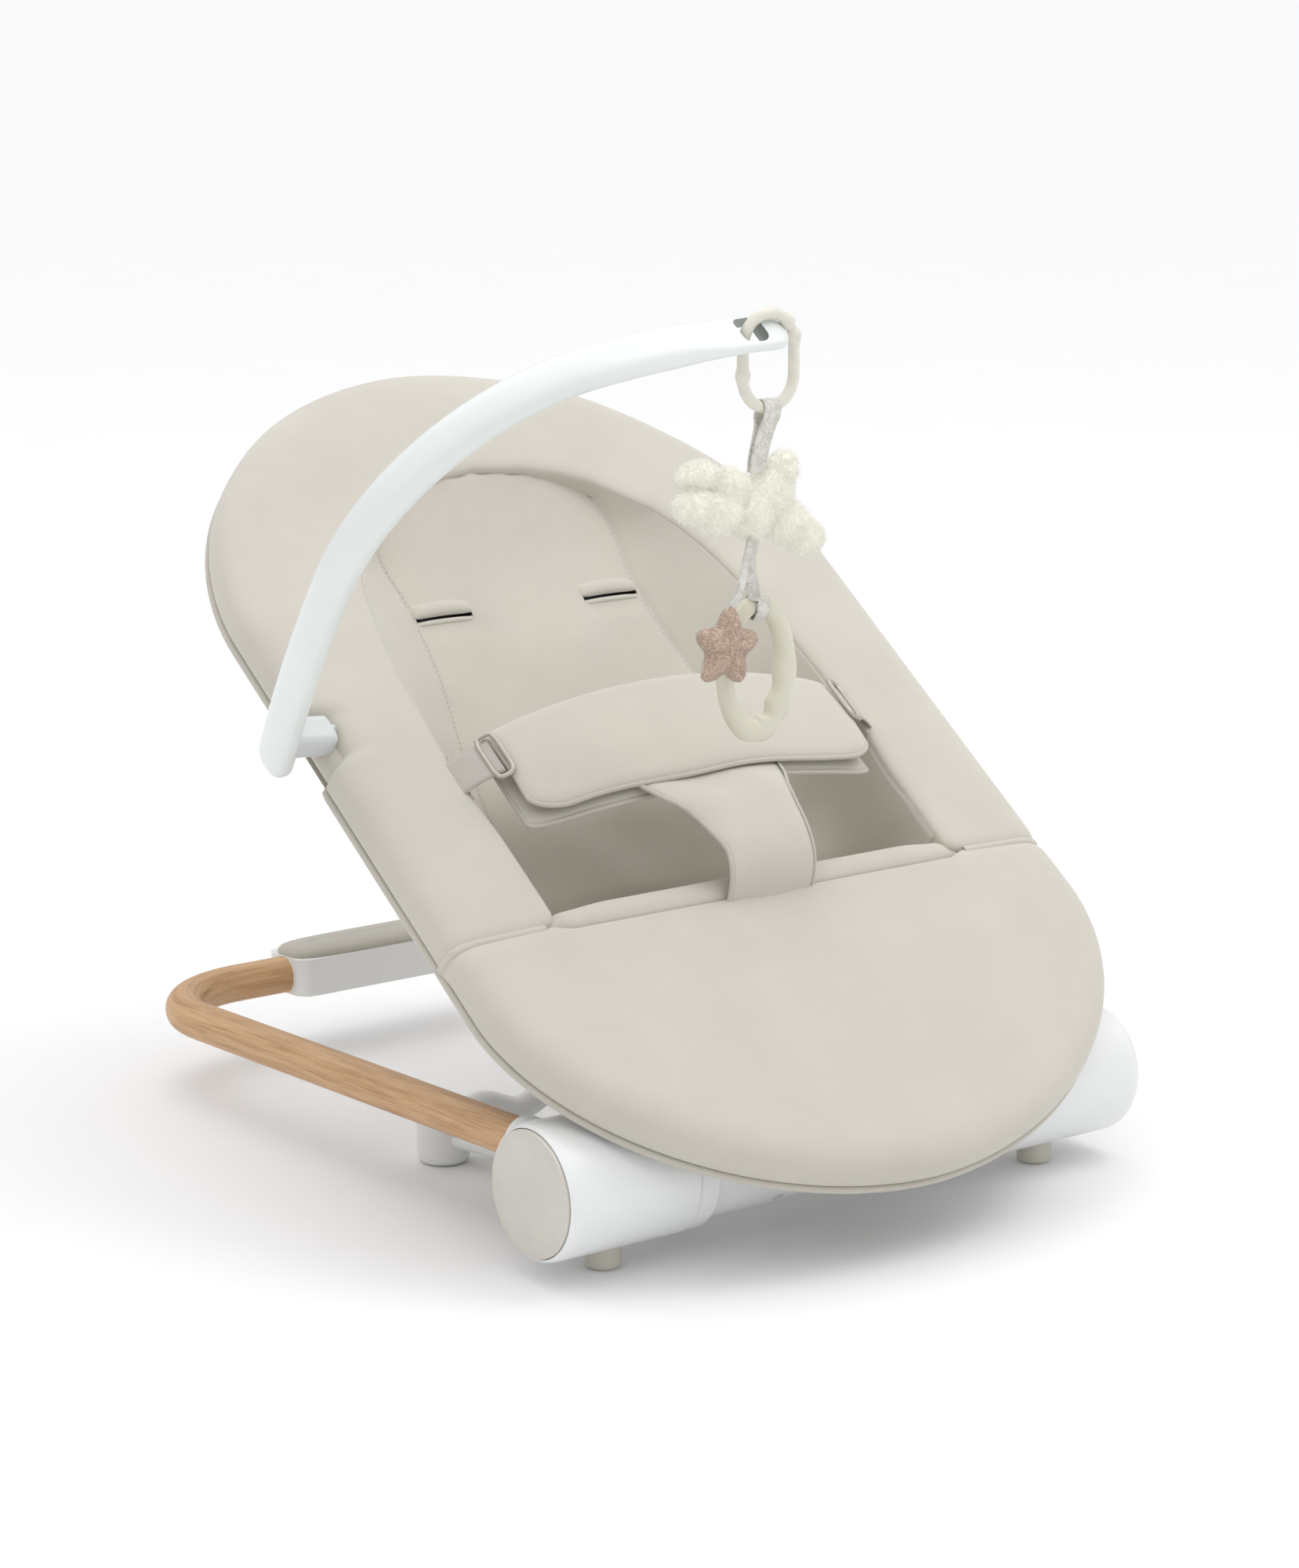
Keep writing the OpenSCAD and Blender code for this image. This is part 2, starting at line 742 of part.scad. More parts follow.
// Flat curved bar from the socket up over the child
module toy_bar() {
  side_a = asin((shoulder_n - pivot_n + 18) / side_r);
  path = concat(
    arc_points([side_r - bar_side, shoulder_n], side_r, side_r, 180 + side_a, 180, 8),
    arc_points([shoulder_x, shoulder_n], shoulder_r, shoulder_r, 178, crown_a, 16),
    arc_points([tip_x, crown_n], crown_r, crown_r, crown_a - 2, 90, 12)
  );
  thin = [for (p = path) bar_th / 2 - 4 * min(1, max(0, (p[0] + 90) / 50))];
  color(white) in_seat() difference() {
    translate([0, bar_t, 0]) rotate([90, 0, 0]) swept(path, thin, bar_w / 2, 16);
    rod([-bar_foot_x - bar_th, bar_t, pivot_n], [-bar_foot_x + bar_th, bar_t, pivot_n], 5);
    translate([slot_run[0], bar_t - 11, bar_top - 30]) cube([slot_run[1] - slot_run[0], 22, 60]);
  }
}

// Pin that the toy bar turns on
module bar_pin() {
  color(steel) in_seat()
    rod([-bar_foot_x - bar_th / 2, bar_t, pivot_n], [tube_in + 3 - seat_half, bar_t, pivot_n], 5);
}

// Oval plastic link through the bar's tip
module toy_link() {
  color("ivory") translate([link_x, tip_y, link_top - link_r]) {
    rotate([90, 0, 0]) rotate_extrude(angle = 180) translate([link_r, 0]) circle(link_tube);
    translate([0, 0, -link_run]) rotate([90, 180, 0]) rotate_extrude(angle = 180)
      translate([link_r, 0]) circle(link_tube);
    for (s = [-1, 1]) translate([s * link_r, 0, -link_run]) cylinder(r = link_tube, h = link_run);
    for (z = [1, -5]) translate([link_r, 0, z]) sphere(4.8);
  }
}

// Printed ribbon from the link down to the plush toy
module plush_ribbon() {
  color(fabric) translate([link_x, tip_y, link_bottom]) {
    translate([-6, 0, 0]) rotate([0, 90, 0]) difference() {
      cylinder(r = link_tube + 3, h = 12);
      translate([0, 0, -1]) cylinder(r = link_tube + 1.5, h = 14);
    }
    translate([-6, -1.2, plush_z + 28 - link_bottom])
      cube([12, 2.4, link_bottom - plush_z - 28 - link_tube - 2]);
  }
}

// Fluffy toy
module plush_body() {
  color("ivory") translate([plush_x, tip_y + 18, plush_z]) rotate([90, 0, 0]) linear_extrude(36) {
    translate([-2, 0]) circle(27);
    translate([-30, 4]) circle(23);
    translate([-48, 14]) circle(21);
    translate([22, 22]) circle(15);
    translate([18, -4]) circle(22);
    translate([38, -20]) circle(16);
  }
}

// A flat ribbon down from one place to another, at one distance from the front
module ribbon(x0, z0, x1, z1, y) {
  translate([0, y + 4, 0]) rotate([90, 0, 0]) linear_extrude(8) band([[x0, z0], [x1, z1]], 1.6);
}

// Ribbons under the plush toy that the star and the teether hang from
module toy_ribbons() {
  color(fabric) {
    ribbon(plush_x - 5, plush_low + 7, star_x, knot_z, star_y);
    ribbon(plush_x + 1, plush_low + 4, teether_x, knot_z, teether_y);
  }
}

module star_ribbon() {
  color(fabric) ribbon(star_x, knot_z - 2, star_x, star_z + 24, star_y);
}

// Soft star
module star() {
  color([0.78, 0.62, 0.57]) translate([star_x, star_y + 9, star_z]) rotate([90, 0, 0])
    linear_extrude(18) polygon([
      for (i = [0:9]) let (a = 90 + 36 * i, r = i % 2 == 0 ? 29 : 16) [r * cos(a), r * sin(a)]
    ]);
}

module teether_ribbon() {
  color(fabric) ribbon(teether_x, knot_z - 2, teether_x, teether_z + 44, teether_y);
}

// Teething ring
module teether() {
  color("cornsilk") translate([teether_x, teether_y + 6, teether_z]) rotate([90, 0, 0])
    linear_extrude(12) difference() {
      scale([0.66, 1]) circle(47);
      translate([-4, 0]) scale([0.56, 1]) circle(33);
    }
}

hub_left();
hub_right();
hub_bushes();
bounce_springs();
button_springs();
front_feet();
leg_left();
leg_right();
leg_spigots();
pedal_tube();
pedal_shell();
pedal_plate();
pedal_pad();
pedal_screws();
stand_arm_left();
stand_arm_right();
stand_bar();
stand_feet();
axle();
recline_discs();
button_left();
button_right();
core_upper();
core_lower();
core_screws();
lock_plungers();
cradle_arm_left();
cradle_arm_right();
cross_tube();
frame_lower();
frame_upper();
frame_sleeves();
back_board();
back_pad();
foot_panel();
bolster_left();
bolster_right();
head_pad();
seat_pocket();
crotch_strap();
belt_pad();
belt_webbing();
belt_rings();
slot_trims();
bar_socket();
toy_bar();
bar_pin();
toy_link();
plush_ribbon();
plush_body();
toy_ribbons();
star_ribbon();
star();
teether_ribbon();
teether();
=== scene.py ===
import json
import math

import bpy
import numpy as np
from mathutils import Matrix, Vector
from mathutils.noise import noise as noise3


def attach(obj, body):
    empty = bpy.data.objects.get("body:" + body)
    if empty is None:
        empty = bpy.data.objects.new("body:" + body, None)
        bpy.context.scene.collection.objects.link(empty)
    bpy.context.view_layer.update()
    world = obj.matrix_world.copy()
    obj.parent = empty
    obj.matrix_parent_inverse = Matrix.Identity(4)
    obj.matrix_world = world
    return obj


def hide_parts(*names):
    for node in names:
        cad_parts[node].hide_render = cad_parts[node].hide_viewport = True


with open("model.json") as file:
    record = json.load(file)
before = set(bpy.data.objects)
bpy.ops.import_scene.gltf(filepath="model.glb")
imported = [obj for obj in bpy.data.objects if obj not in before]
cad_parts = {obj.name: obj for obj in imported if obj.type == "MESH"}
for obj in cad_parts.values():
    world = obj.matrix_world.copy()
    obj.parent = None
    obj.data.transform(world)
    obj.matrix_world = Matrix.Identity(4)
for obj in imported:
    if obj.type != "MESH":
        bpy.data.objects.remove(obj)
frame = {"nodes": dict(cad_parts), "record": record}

rng = np.random.default_rng(7)
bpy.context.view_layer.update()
bpy.context.scene.view_settings.view_transform = "Standard"

# ---- The seat's sloping frame: x across, t along the slope, n square to it, in millimetres ----
COS, SIN, HUB = math.cos(math.radians(35)), math.sin(math.radians(35)), 58.0
HALF = 243.0


def seat(x, t, n):
    x, t, n = np.broadcast_arrays(np.asarray(x, float), t, n)
    return np.stack([x, t * COS - n * SIN, HUB + t * SIN + n * COS], -1) / 1000


def smooth(a, b, x):
    s = np.clip((np.asarray(x, float) - a) / (b - a), 0, 1)
    return s * s * (3 - 2 * s)


def spline(points, xs):
    """A smooth curve through (x, y) points, without overshoot."""
    p = np.array(points, float)
    x, y = p[:, 0], p[:, 1]
    h, d = np.diff(x), np.diff(y) / np.diff(x)
    m = np.zeros(len(x))
    m[0], m[-1] = d[0], d[-1]
    for i in range(1, len(x) - 1):
        if d[i - 1] * d[i] > 0:
            w1, w2 = 2 * h[i] + h[i - 1], h[i] + 2 * h[i - 1]
            m[i] = (w1 + w2) / (w1 / d[i - 1] + w2 / d[i])
    xs = np.clip(np.asarray(xs, float), x[0], x[-1])
    i = np.clip(np.searchsorted(x, xs) - 1, 0, len(x) - 2)
    u = (xs - x[i]) / h[i]
    return ((1 + 2 * u) * (1 - u) ** 2 * y[i] + u * (1 - u) ** 2 * h[i] * m[i]
            + u * u * (3 - 2 * u) * y[i + 1] + u * u * (u - 1) * h[i] * m[i + 1])


def resample(points, count=None, fractions=None):
    p = np.array(points, float)
    s = np.r_[0, np.cumsum(np.linalg.norm(np.diff(p, axis=0), axis=1))]
    f = np.linspace(0, 1, count) if fractions is None else np.asarray(fractions)
    return np.stack([np.interp(f * s[-1], s, p[:, k]) for k in range(p.shape[1])], -1)


# ---- Meshes ----
def build(name, verts, faces, mat, body, uv=None):
    me = bpy.data.meshes.new(name)
    me.from_pydata(np.asarray(verts, float).reshape(-1, 3).tolist(), [], faces)
    if uv is not None:
        layer = me.uv_layers.new(name="along")
        at = np.zeros(len(me.loops), np.int32)
        me.loops.foreach_get("vertex_index", at)
        layer.data.foreach_set("uv", np.asarray(uv, np.float32).reshape(-1, 2)[at].ravel())
    me.polygons.foreach_set("use_smooth", [True] * len(me.polygons))
    me.update()
    o = bpy.data.objects.new(name, me)
    bpy.context.scene.collection.objects.link(o)
    me.materials.append(mat)
    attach(o, body)
    return o


def grid_faces(nu, nv, wrap_u=False, wrap_v=False, flip=False, skip=None):
    faces = []
    for i in range(nu if wrap_u else nu - 1):
        for j in range(nv if wrap_v else nv - 1):
            if skip is not None and skip(i, j):
                continue
            a, b = i * nv + j, ((i + 1) % nu) * nv + j
            c, d = ((i + 1) % nu) * nv + (j + 1) % nv, i * nv + (j + 1) % nv
            faces.append((d, c, b, a) if flip else (a, b, c, d))
    return faces


def grid(name, P, mat, body, slot, **kw):
    nu, nv = P.shape[:2]
    return build(name, P, grid_faces(nu, nv, **kw), mat, body)


def frames_along(path, closed=False):
    p = np.array(path, float)
    d = (np.roll(p, -1, 0) - np.roll(p, 1, 0)) if closed else np.gradient(p, axis=0)
    return d / np.linalg.norm(d, axis=1)[:, None]


def tube(name, path, radius, mat, body, slot, closed=False, sides=16, up=None, aspect=1.0, power=2.0):
    """A round, oval or squarish tube along a path in metres. radius may vary; aspect scales it across up."""
    p = np.array(path, float)
    count = len(p)
    tan = frames_along(p, closed)
    r = np.broadcast_to(np.asarray(radius, float), (count,))
    if up is None:
        side = np.cross(tan[0], (0, 0, 1) if abs(tan[0][2]) < 0.9 else (1, 0, 0))
        ups = []
        u = np.cross(side, tan[0])
        for k in range(count):
            u = u - tan[k] * (u @ tan[k])
            u = u / np.linalg.norm(u)
            ups.append(u)
        ups = np.array(ups)
        if closed:
            turn = math.atan2(np.cross(ups[-1], ups[0]) @ tan[0], ups[-1] @ ups[0])
            for k in range(count):
                a = turn * k / count
                ups[k] = ups[k] * math.cos(a) + np.cross(tan[k], ups[k]) * math.sin(a)
    else:
        ups = np.broadcast_to(np.asarray(up, float), p.shape)
        ups = ups - tan * (ups * tan).sum(1)[:, None]
        ups = ups / np.linalg.norm(ups, axis=1)[:, None]
    across = np.cross(tan, ups)
    a = np.linspace(0, 2 * math.pi, sides, endpoint=False)
    ca = np.sign(np.cos(a)) * np.abs(np.cos(a)) ** (2 / power)
    sa = np.sign(np.sin(a)) * np.abs(np.sin(a)) ** (2 / power)
    asp = np.broadcast_to(np.asarray(aspect, float), (count,))
    P = p[:, None] + ups[:, None] * (r[:, None] * ca)[..., None] + across[:, None] * (
        (r * asp)[:, None] * sa)[..., None]
    verts, faces = P.reshape(-1, 3), grid_faces(count, sides, wrap_u=closed, wrap_v=True)
    s = np.r_[0, np.cumsum(np.linalg.norm(np.diff(p, axis=0), axis=1))]
    uv = np.stack(np.meshgrid(s, a * r.mean(), indexing="ij"), -1).reshape(-1, 2)
    if not closed:
        verts = np.vstack([verts, p[:1], p[-1:]])
        uv = np.vstack([uv, uv[:1], uv[-1:]])
        n = count * sides
        faces += [(n, (k + 1) % sides, k) for k in range(sides)]
        faces += [(n + 1, n - sides + k, n - sides + (k + 1) % sides) for k in range(sides)]
    return build(name, verts, faces, mat, body, uv=uv)


def rounded_ends(path, radius, reach, steps=7):
    """Adds points at both ends of a path whose radius falls off like a ball. Returns path and radii."""
    p, r = np.array(path, float), np.broadcast_to(np.asarray(radius, float), (len(path),))
    a = np.linspace(0, math.pi / 2, steps + 1)[1:]
    d0 = (p[0] - p[1]) / np.linalg.norm(p[0] - p[1])
    d1 = (p[-1] - p[-2]) / np.linalg.norm(p[-1] - p[-2])
    head = p[0] + d0 * reach * np.sin(a)[:, None]
    tail = p[-1] + d1 * reach * np.sin(a)[:, None]
    fall = np.maximum(np.cos(a), 0.02)
    return np.vstack([head[::-1], p, tail]), np.r_[r[0] * fall[::-1], r, r[-1] * fall]


def dashes(name, points, normal, mat, body, slot, length=2.6, gap=1.7, width=0.55, height=0.4):
    """A row of small raised stitches, in millimetres, along a line of points in metres."""
    p = np.array(points, float)
    m = np.array(normal, float)
    m /= np.linalg.norm(m)
    s = np.r_[0, np.cumsum(np.linalg.norm(np.diff(p, axis=0), axis=1))] * 1000
    verts, faces = [], []
    at = 0.0
    while at + length < s[-1]:
        q = [np.array([np.interp(v, s, p[:, k]) for k in range(3)]) for v in (at, at + length)]
        d = q[1] - q[0]
        side = np.cross(d, m)
        side = side / np.linalg.norm(side) * width / 2000
        h = m * height / 1000
        base = len(verts)
        mid = (q[0] + q[1]) / 2
        verts += [q[0], q[1], mid + side, mid - side, mid + h]
        faces += [(base, base + 2, base + 4), (base + 2, base + 1, base + 4),
                  (base + 1, base + 3, base + 4), (base + 3, base, base + 4)]
        at += length + gap
    return build(name, verts, faces, mat, body)


# ---- Materials, kept in M by name ----
M = {}


def material(name):
    m = bpy.data.materials.new(name)
    m.use_nodes = True
    M[name] = m
    t = m.node_tree
    return t, t.nodes["Principled BSDF"], t.nodes.new("ShaderNodeTexCoord")


def noise(t, source, scale, detail=4.0, rough=0.55, stretch=None):
    n = t.nodes.new("ShaderNodeTexNoise")
    n.inputs["Scale"].default_value = scale
    n.inputs["Detail"].default_value = detail
    n.inputs["Roughness"].default_value = rough
    if stretch:
        m = t.nodes.new("ShaderNodeMapping")
        m.inputs["Scale"].default_value = stretch
        t.links.new(source, m.inputs["Vector"])
        source = m.outputs["Vector"]
    t.links.new(source, n.inputs["Vector"])
    return n.outputs["Fac"]


def ramp(t, source, stops):
    r = t.nodes.new("ShaderNodeValToRGB")
    e = r.color_ramp.elements
    while len(e) > len(stops):
        e.remove(e[-1])
    while len(e) < len(stops):
        e.new(0.5)
    for k, (at, c) in enumerate(stops):
        e[k].position, e[k].color = at, (*c, 1)
    t.links.new(source, r.inputs["Fac"])
    return r.outputs["Color"]


def bump(t, b, source, strength, distance, before=None):
    n = t.nodes.new("ShaderNodeBump")
    n.inputs["Strength"].default_value = strength
    n.inputs["Distance"].default_value = distance
    t.links.new(source, n.inputs["Height"])
    if before is not None:
        t.links.new(before, n.inputs["Normal"])
    t.links.new(n.outputs["Normal"], b.inputs["Normal"])
    return n.outputs["Normal"]


def tint(c, k):
    return tuple(min(1.0, v * k) for v in c)


def plastic(name, c, rough=0.35, coat=0.0, metal=0.0, vary=0.025, scale=9.0, sss=0.0):
    t, b, co = material(name)
    f = noise(t, co.outputs["Object"], scale)
    t.links.new(ramp(t, f, [(0.3, tint(c, 1 - vary)), (0.7, tint(c, 1 + vary))]), b.inputs["Base Color"])
    b.inputs["Roughness"].default_value = rough
    b.inputs["Metallic"].default_value = metal
    b.inputs["Coat Weight"].default_value = coat
    b.inputs["Coat Roughness"].default_value = 0.2
    if sss:
        b.inputs["Subsurface Weight"].default_value = sss
        b.inputs["Subsurface Radius"].default_value = (0.004, 0.0035, 0.002)
        b.inputs["Subsurface Scale"].default_value = 1.0
    bump(t, b, noise(t, co.outputs["Object"], 900, 2), 0.05, 0.0002)


def cloth(name, c, vary=0.035, rough=0.85, weave=1400, depth=0.12, sheen=0.35, soft=0.12):
    t, b, co = material(name)
    src = co.outputs["Object"]
    f = noise(t, src, 14, 6, 0.6)
    t.links.new(ramp(t, f, [(0.32, tint(c, 1 - vary)), (0.68, tint(c, 1 + vary))]), b.inputs["Base Color"])
    b.inputs["Roughness"].default_value = rough
    b.inputs["Sheen Weight"].default_value = sheen
    b.inputs["Sheen Roughness"].default_value = 0.5
    first = bump(t, b, noise(t, src, 26, 3, 0.5), soft, 0.004)
    bump(t, b, noise(t, src, weave, 3, 0.6), depth, 0.0006, first)


def oak(name):
    t, b, co = material(name)
    uv = t.nodes.new("ShaderNodeUVMap")
    uv.uv_map = "along"
    src = uv.outputs["UV"]
    broad = noise(t, src, 1.0, 8, 0.62, (9, 150, 1))
    fine = noise(t, src, 1.0, 6, 0.7, (26, 1100, 1))
    mix = t.nodes.new("ShaderNodeMath")
    mix.operation = "MULTIPLY_ADD"
    mix.inputs[1].default_value = 0.5
    half = t.nodes.new("ShaderNodeMath")
    half.operation = "MULTIPLY"
    half.inputs[1].default_value = 0.5
    t.links.new(broad, half.inputs[0])
    t.links.new(fine, mix.inputs[0])
    t.links.new(half.outputs[0], mix.inputs[2])
    t.links.new(ramp(t, mix.outputs[0], [
        (0.32, (0.23, 0.105, 0.042)), (0.43, (0.46, 0.255, 0.115)), (0.52, (0.60, 0.365, 0.185)),
        (0.66, (0.70, 0.47, 0.27))]), b.inputs["Base Color"])
    b.inputs["Roughness"].default_value = 0.5
    b.inputs["Coat Weight"].default_value = 0.12
    b.inputs["Coat Roughness"].default_value = 0.35
    bump(t, b, fine, 0.25, 0.0004)


def marbled(name):
    t, b, co = material(name)
    f = noise(t, co.outputs["Object"], 90, 5, 0.6)
    t.links.new(ramp(t, f, [(0.42, (0.72, 0.71, 0.66)), (0.5, (0.56, 0.55, 0.50)), (0.55, (0.74, 0.73, 0.68)),
                            (0.62, (0.62, 0.60, 0.54))]), b.inputs["Base Color"])
    b.inputs["Roughness"].default_value = 0.6
    bump(t, b, noise(t, co.outputs["Object"], 1500, 2), 0.15, 0.0004)


FAB = (0.572, 0.537, 0.466)
plastic("white_plastic", (0.83, 0.84, 0.835), 0.34, coat=0.15)
plastic("bar_white", (0.80, 0.835, 0.815), 0.28, coat=0.25)
plastic("socket_white", (0.64, 0.66, 0.66), 0.35)
plastic("champagne", (0.64, 0.61, 0.55), 0.42, metal=0.22, vary=0.03, scale=30)
oak("oak")
plastic("steel", (0.55, 0.56, 0.58), 0.3, metal=1.0, vary=0.06, scale=60)
plastic("dark_plastic", (0.05, 0.05, 0.055), 0.5, vary=0.1)
plastic("rubber_foot", (0.60, 0.575, 0.49), 0.6)
cloth("seat_fabric", FAB)
cloth("insert_fabric", tint(FAB, 0.985), soft=0.2)
cloth("piping", tint(FAB, 0.93), soft=0.0)
cloth("thread", tint(FAB, 0.72), soft=0.0)
cloth("shadow", (0.03, 0.026, 0.022), soft=0.0)
cloth("pedal_fabric", (0.50, 0.475, 0.42), soft=0.03, sheen=0.1)
cloth("board", (0.33, 0.24, 0.15), soft=0.0, sheen=0.0)
cloth("webbing", (0.50, 0.45, 0.41), soft=0.0, weave=900, depth=0.4)
plastic("ring_metal", (0.50, 0.46, 0.41), 0.3, metal=0.5)
plastic("ivory_plastic", (0.76, 0.735, 0.65), 0.4, vary=0.05, scale=120, sss=0.15)
cloth("plush", (0.97, 0.955, 0.87), vary=0.02, soft=0.1, sheen=0.7, depth=0.3, weave=600)
marbled("ribbon")
cloth("star_fabric", (0.62, 0.46, 0.355), vary=0.14, weave=420, depth=0.9, sheen=0.9)
cloth("star_back", (0.66, 0.57, 0.47), vary=0.1, weave=420, depth=0.9, sheen=0.6)
plastic("silicone", (0.69, 0.665, 0.55), 0.42, vary=0.03, sss=0.25)

# A piece of the seat cover: its material, body and slot
FABRIC = (M["seat_fabric"], "seat", "seat_fabric")
PIPING = (M["piping"], "seat", "seat_fabric")
THREAD = (M["thread"], "seat", "seat_fabric")

# The plush toy's material glows a little: painted light that keeps the pile bright where its tufts shade each
# other
plush_painted_glow = M["plush"].node_tree.nodes["Principled BSDF"]
plush_painted_glow.inputs["Emission Color"].default_value = (1.0, 0.97, 0.88, 1)
plush_painted_glow.inputs["Emission Strength"].default_value = 0.14

for name, o in frame["nodes"].items():
    slot = next(s["material_slot"] for s in frame["record"]["subparts"] if s["node"] == name)
    o.data.materials.clear()
    o.data.materials.append(M[slot])


# ---- Seat cover ----
def outline(mid_t, reach, power, end_angle):
    """One end of the seat's outline, a little squarer than an oval, from left to right."""
    a = np.linspace(math.pi, end_angle, 400)
    c, s = np.cos(a), np.sin(a)
    return np.stack([HALF * np.sign(c) * np.abs(c) ** (2 / power),
                     mid_t + reach * np.sign(s) * np.abs(s) ** (2 / power)], -1)


FOOT_T, FOOT_R = 95, 186
HEAD_T, HEAD_R = 430, 222
FOOT = outline(FOOT_T, FOOT_R, 1.87, 2 * math.pi)
HEAD = outline(HEAD_T, HEAD_R, 1.88, 0)
SEAM_T = 140.0

# The cover's roll over the rim: its height at the rim's edge, its rise, and the width it rises over
EDGE_N, RIM_RISE, RIM_W = 63, 17, 26

# Rows of a panel: in from the inner line with its seam's drop, out to the rim, and round under it
e_in = np.array([0, 0, 0, 0.5, 1.2, 2.2, 3.6, 5.4, 8, 11.5, 16])
drop_in = np.array([14, 9, 5.2, 3.0, 2.0, 1.3, 0.8, 0.4, 0.15, 0, 0])
d_out = np.array([30, 25, 21, 17.5, 14.2, 11.2, 8.6, 6.2, 4.2, 2.6, 1.3, 0.4, 0])
under = [(0.5, 61), (0.3, 58), (-0.6, 55.2), (-2.2, 53), (-4.4, 51.8)]


CROWN = 2.6


def rim_rise(d):
    """The roll's height at d inside the outline."""
    s = 1 - np.clip(d / RIM_W, 0, 1)
    return RIM_RISE * (1 - s ** 2.5) ** (1 / 2.5)


def outward(p):
    d = np.gradient(p, axis=0)
    nrm = np.stack([d[:, 1], -d[:, 0]], -1)
    return nrm / np.linalg.norm(nrm, axis=1)[:, None]


def notch(x, t):
    """The opening in the left side where the toy bar's socket comes out."""
    return 14 * smooth(297, 311, t) * (1 - smooth(339, 353, t)) * smooth(-200, -228, x)


def cover_panel(inner, outer, distance, sign, reach, seam_in, middle, hem, dip=0.0):
    """A padded panel from an inner line to the seat's outline, over the rim and round to the piping.
    distance is each station's distance from the cross seam, and dip sinks the inner line."""
    out = outward(outer) * sign
    rows_xy, rows_n = [], []
    span = outer - inner
    length = np.linalg.norm(span, axis=1)
    unit = span / length[:, None]
    mids = np.linspace(0, 1, middle + 2)[1:-1]
    e_rows = [np.full(len(outer), e) for e in e_in]
    e_rows += [e_in[-1] + (length - d_out[0] - e_in[-1]) * m for m in mids]
    e_rows += [length - d for d in d_out]
    drops = list(drop_in * seam_in) + [0] * (middle + len(d_out))
    for k, e in enumerate(e_rows):
        d = length - e
        n = EDGE_N + rim_rise(d) + CROWN * (1 - np.exp(-d / reach))
        n = n - drops[k] - dip * np.exp(-e / 14)
        rows_xy.append(inner + unit * e[:, None])
        rows_n.append(n)
    for o, n in list(under) + list(hem):
        rows_xy.append(outer + out * o)
        rows_n.append(np.full(len(outer), float(n)))
    XY, N = np.stack(rows_xy, 1), np.stack(rows_n, 1)
    # The panel sinks and draws in where it meets the cross seam
    h = distance[:, None]
    N = N - (3.2 * np.exp(-h / 3.2) + 7 * (h <= 0))
    inside = length[:, None] - np.stack(e_rows + [length] * (len(under) + len(hem)), 1)
    pull = (1.6 * np.exp(-h / 2.5) + 4 * (h <= 0)) * smooth(RIM_W, 0, inside)
    XY = XY - out[:, None] * pull[..., None]
    XY[..., 0] += notch(XY[..., 0], XY[..., 1])
    return XY, N


# Wings and head, in one horseshoe
WING_IN = [(140, 160), (211, 160), (264, 163), (315, 161), (362, 158), (400, 152), (430, 146)]
ARCH = [(146, 430), (141, 448), (133, 468), (122, 487), (105, 504), (88, 521), (66, 533), (40, 541), (0, 546)]
side_t = np.r_[SEAM_T, SEAM_T, SEAM_T + np.array([0.5, 1.2, 2.2, 3.6, 5.5, 8, 11]), np.arange(155, 288, 5.0),
               np.arange(288, 358, 2.0), np.arange(360, 428, 4.0)]
corner = 13 * (1 - np.sqrt(np.clip(1 - (1 - np.clip((side_t - SEAM_T) / 13, 0, 1)) ** 2, 0, 1)))
in_side = np.stack([-(spline(WING_IN, side_t) + corner), side_t], -1)
out_side = np.stack([np.full(len(side_t), -HALF), side_t], -1)
f_head = np.linspace(0, 1, 96)[1:]
in_head = resample([(-x, t) for x, t in ARCH], fractions=f_head)
out_head = resample(HEAD[:200], fractions=f_head)
inner_l, outer_l = np.vstack([in_side, in_head]), np.vstack([out_side, out_head])
inner_all = np.vstack([inner_l, (inner_l * [-1, 1])[::-1][1:]])
outer_all = np.vstack([outer_l, (outer_l * [-1, 1])[::-1][1:]])
dist = outer_all[:, 1] - SEAM_T
dist[[0, -1]] = 0
dist[[1, -2]] = 0.01
XY, N = cover_panel(inner_all, outer_all, dist, -1, reach=45, seam_in=1.0, middle=7,
                    hem=[(-9, 46.6), (-17, 45.4)], dip=2.6)
# The head end is a little softer and fuller in the middle
N += 2.5 * smooth(560, 620, XY[..., 1]) * smooth(652, 600, XY[..., 1])
XY[[0, -1], :, 1] -= 0.9
P = seat(XY[..., 0], XY[..., 1], N)
wing = grid("wing_cover", P, *FABRIC, flip=True)
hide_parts("bolster_left", "bolster_right", "head_pad")

# Foot panel
near_seam = np.array([0.0008, 0.002, 0.004, 0.007, 0.011])
spread = np.r_[0, near_seam, np.linspace(0.016, 0.984, 190), 1 - near_seam[::-1], 1]
outer = np.vstack([[(-HALF, SEAM_T)], FOOT, [(HALF, SEAM_T)]])
outer = resample(outer, fractions=spread)
inner = np.stack([-173 + 346 * spread, SEAM_T - 7.0 * smooth(0, 0.06, spread) * smooth(1, 0.94, spread)], -1)
arc = np.r_[0, np.cumsum(np.linalg.norm(np.diff(outer, axis=0), axis=1))]
dist = np.minimum(arc, arc[-1] - arc)
XY, N = cover_panel(inner, outer, dist, 1, reach=60, seam_in=0.22, middle=26,
                    hem=[(-9, 46.4), (-17, 45.2), (-29, 45.4), (-30.5, 46.2), (-29, 47.2)])
N -= 3.0 * np.exp(-((XY[..., 1] - SEAM_T) / 7) ** 2) * smooth(150, 176, np.abs(XY[..., 0]))
XY[[0, -1], :, 1] += 0.7
P = seat(XY[..., 0], XY[..., 1], N)
foot = grid("foot_cover", P, *FABRIC, flip=True)
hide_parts("foot_panel")

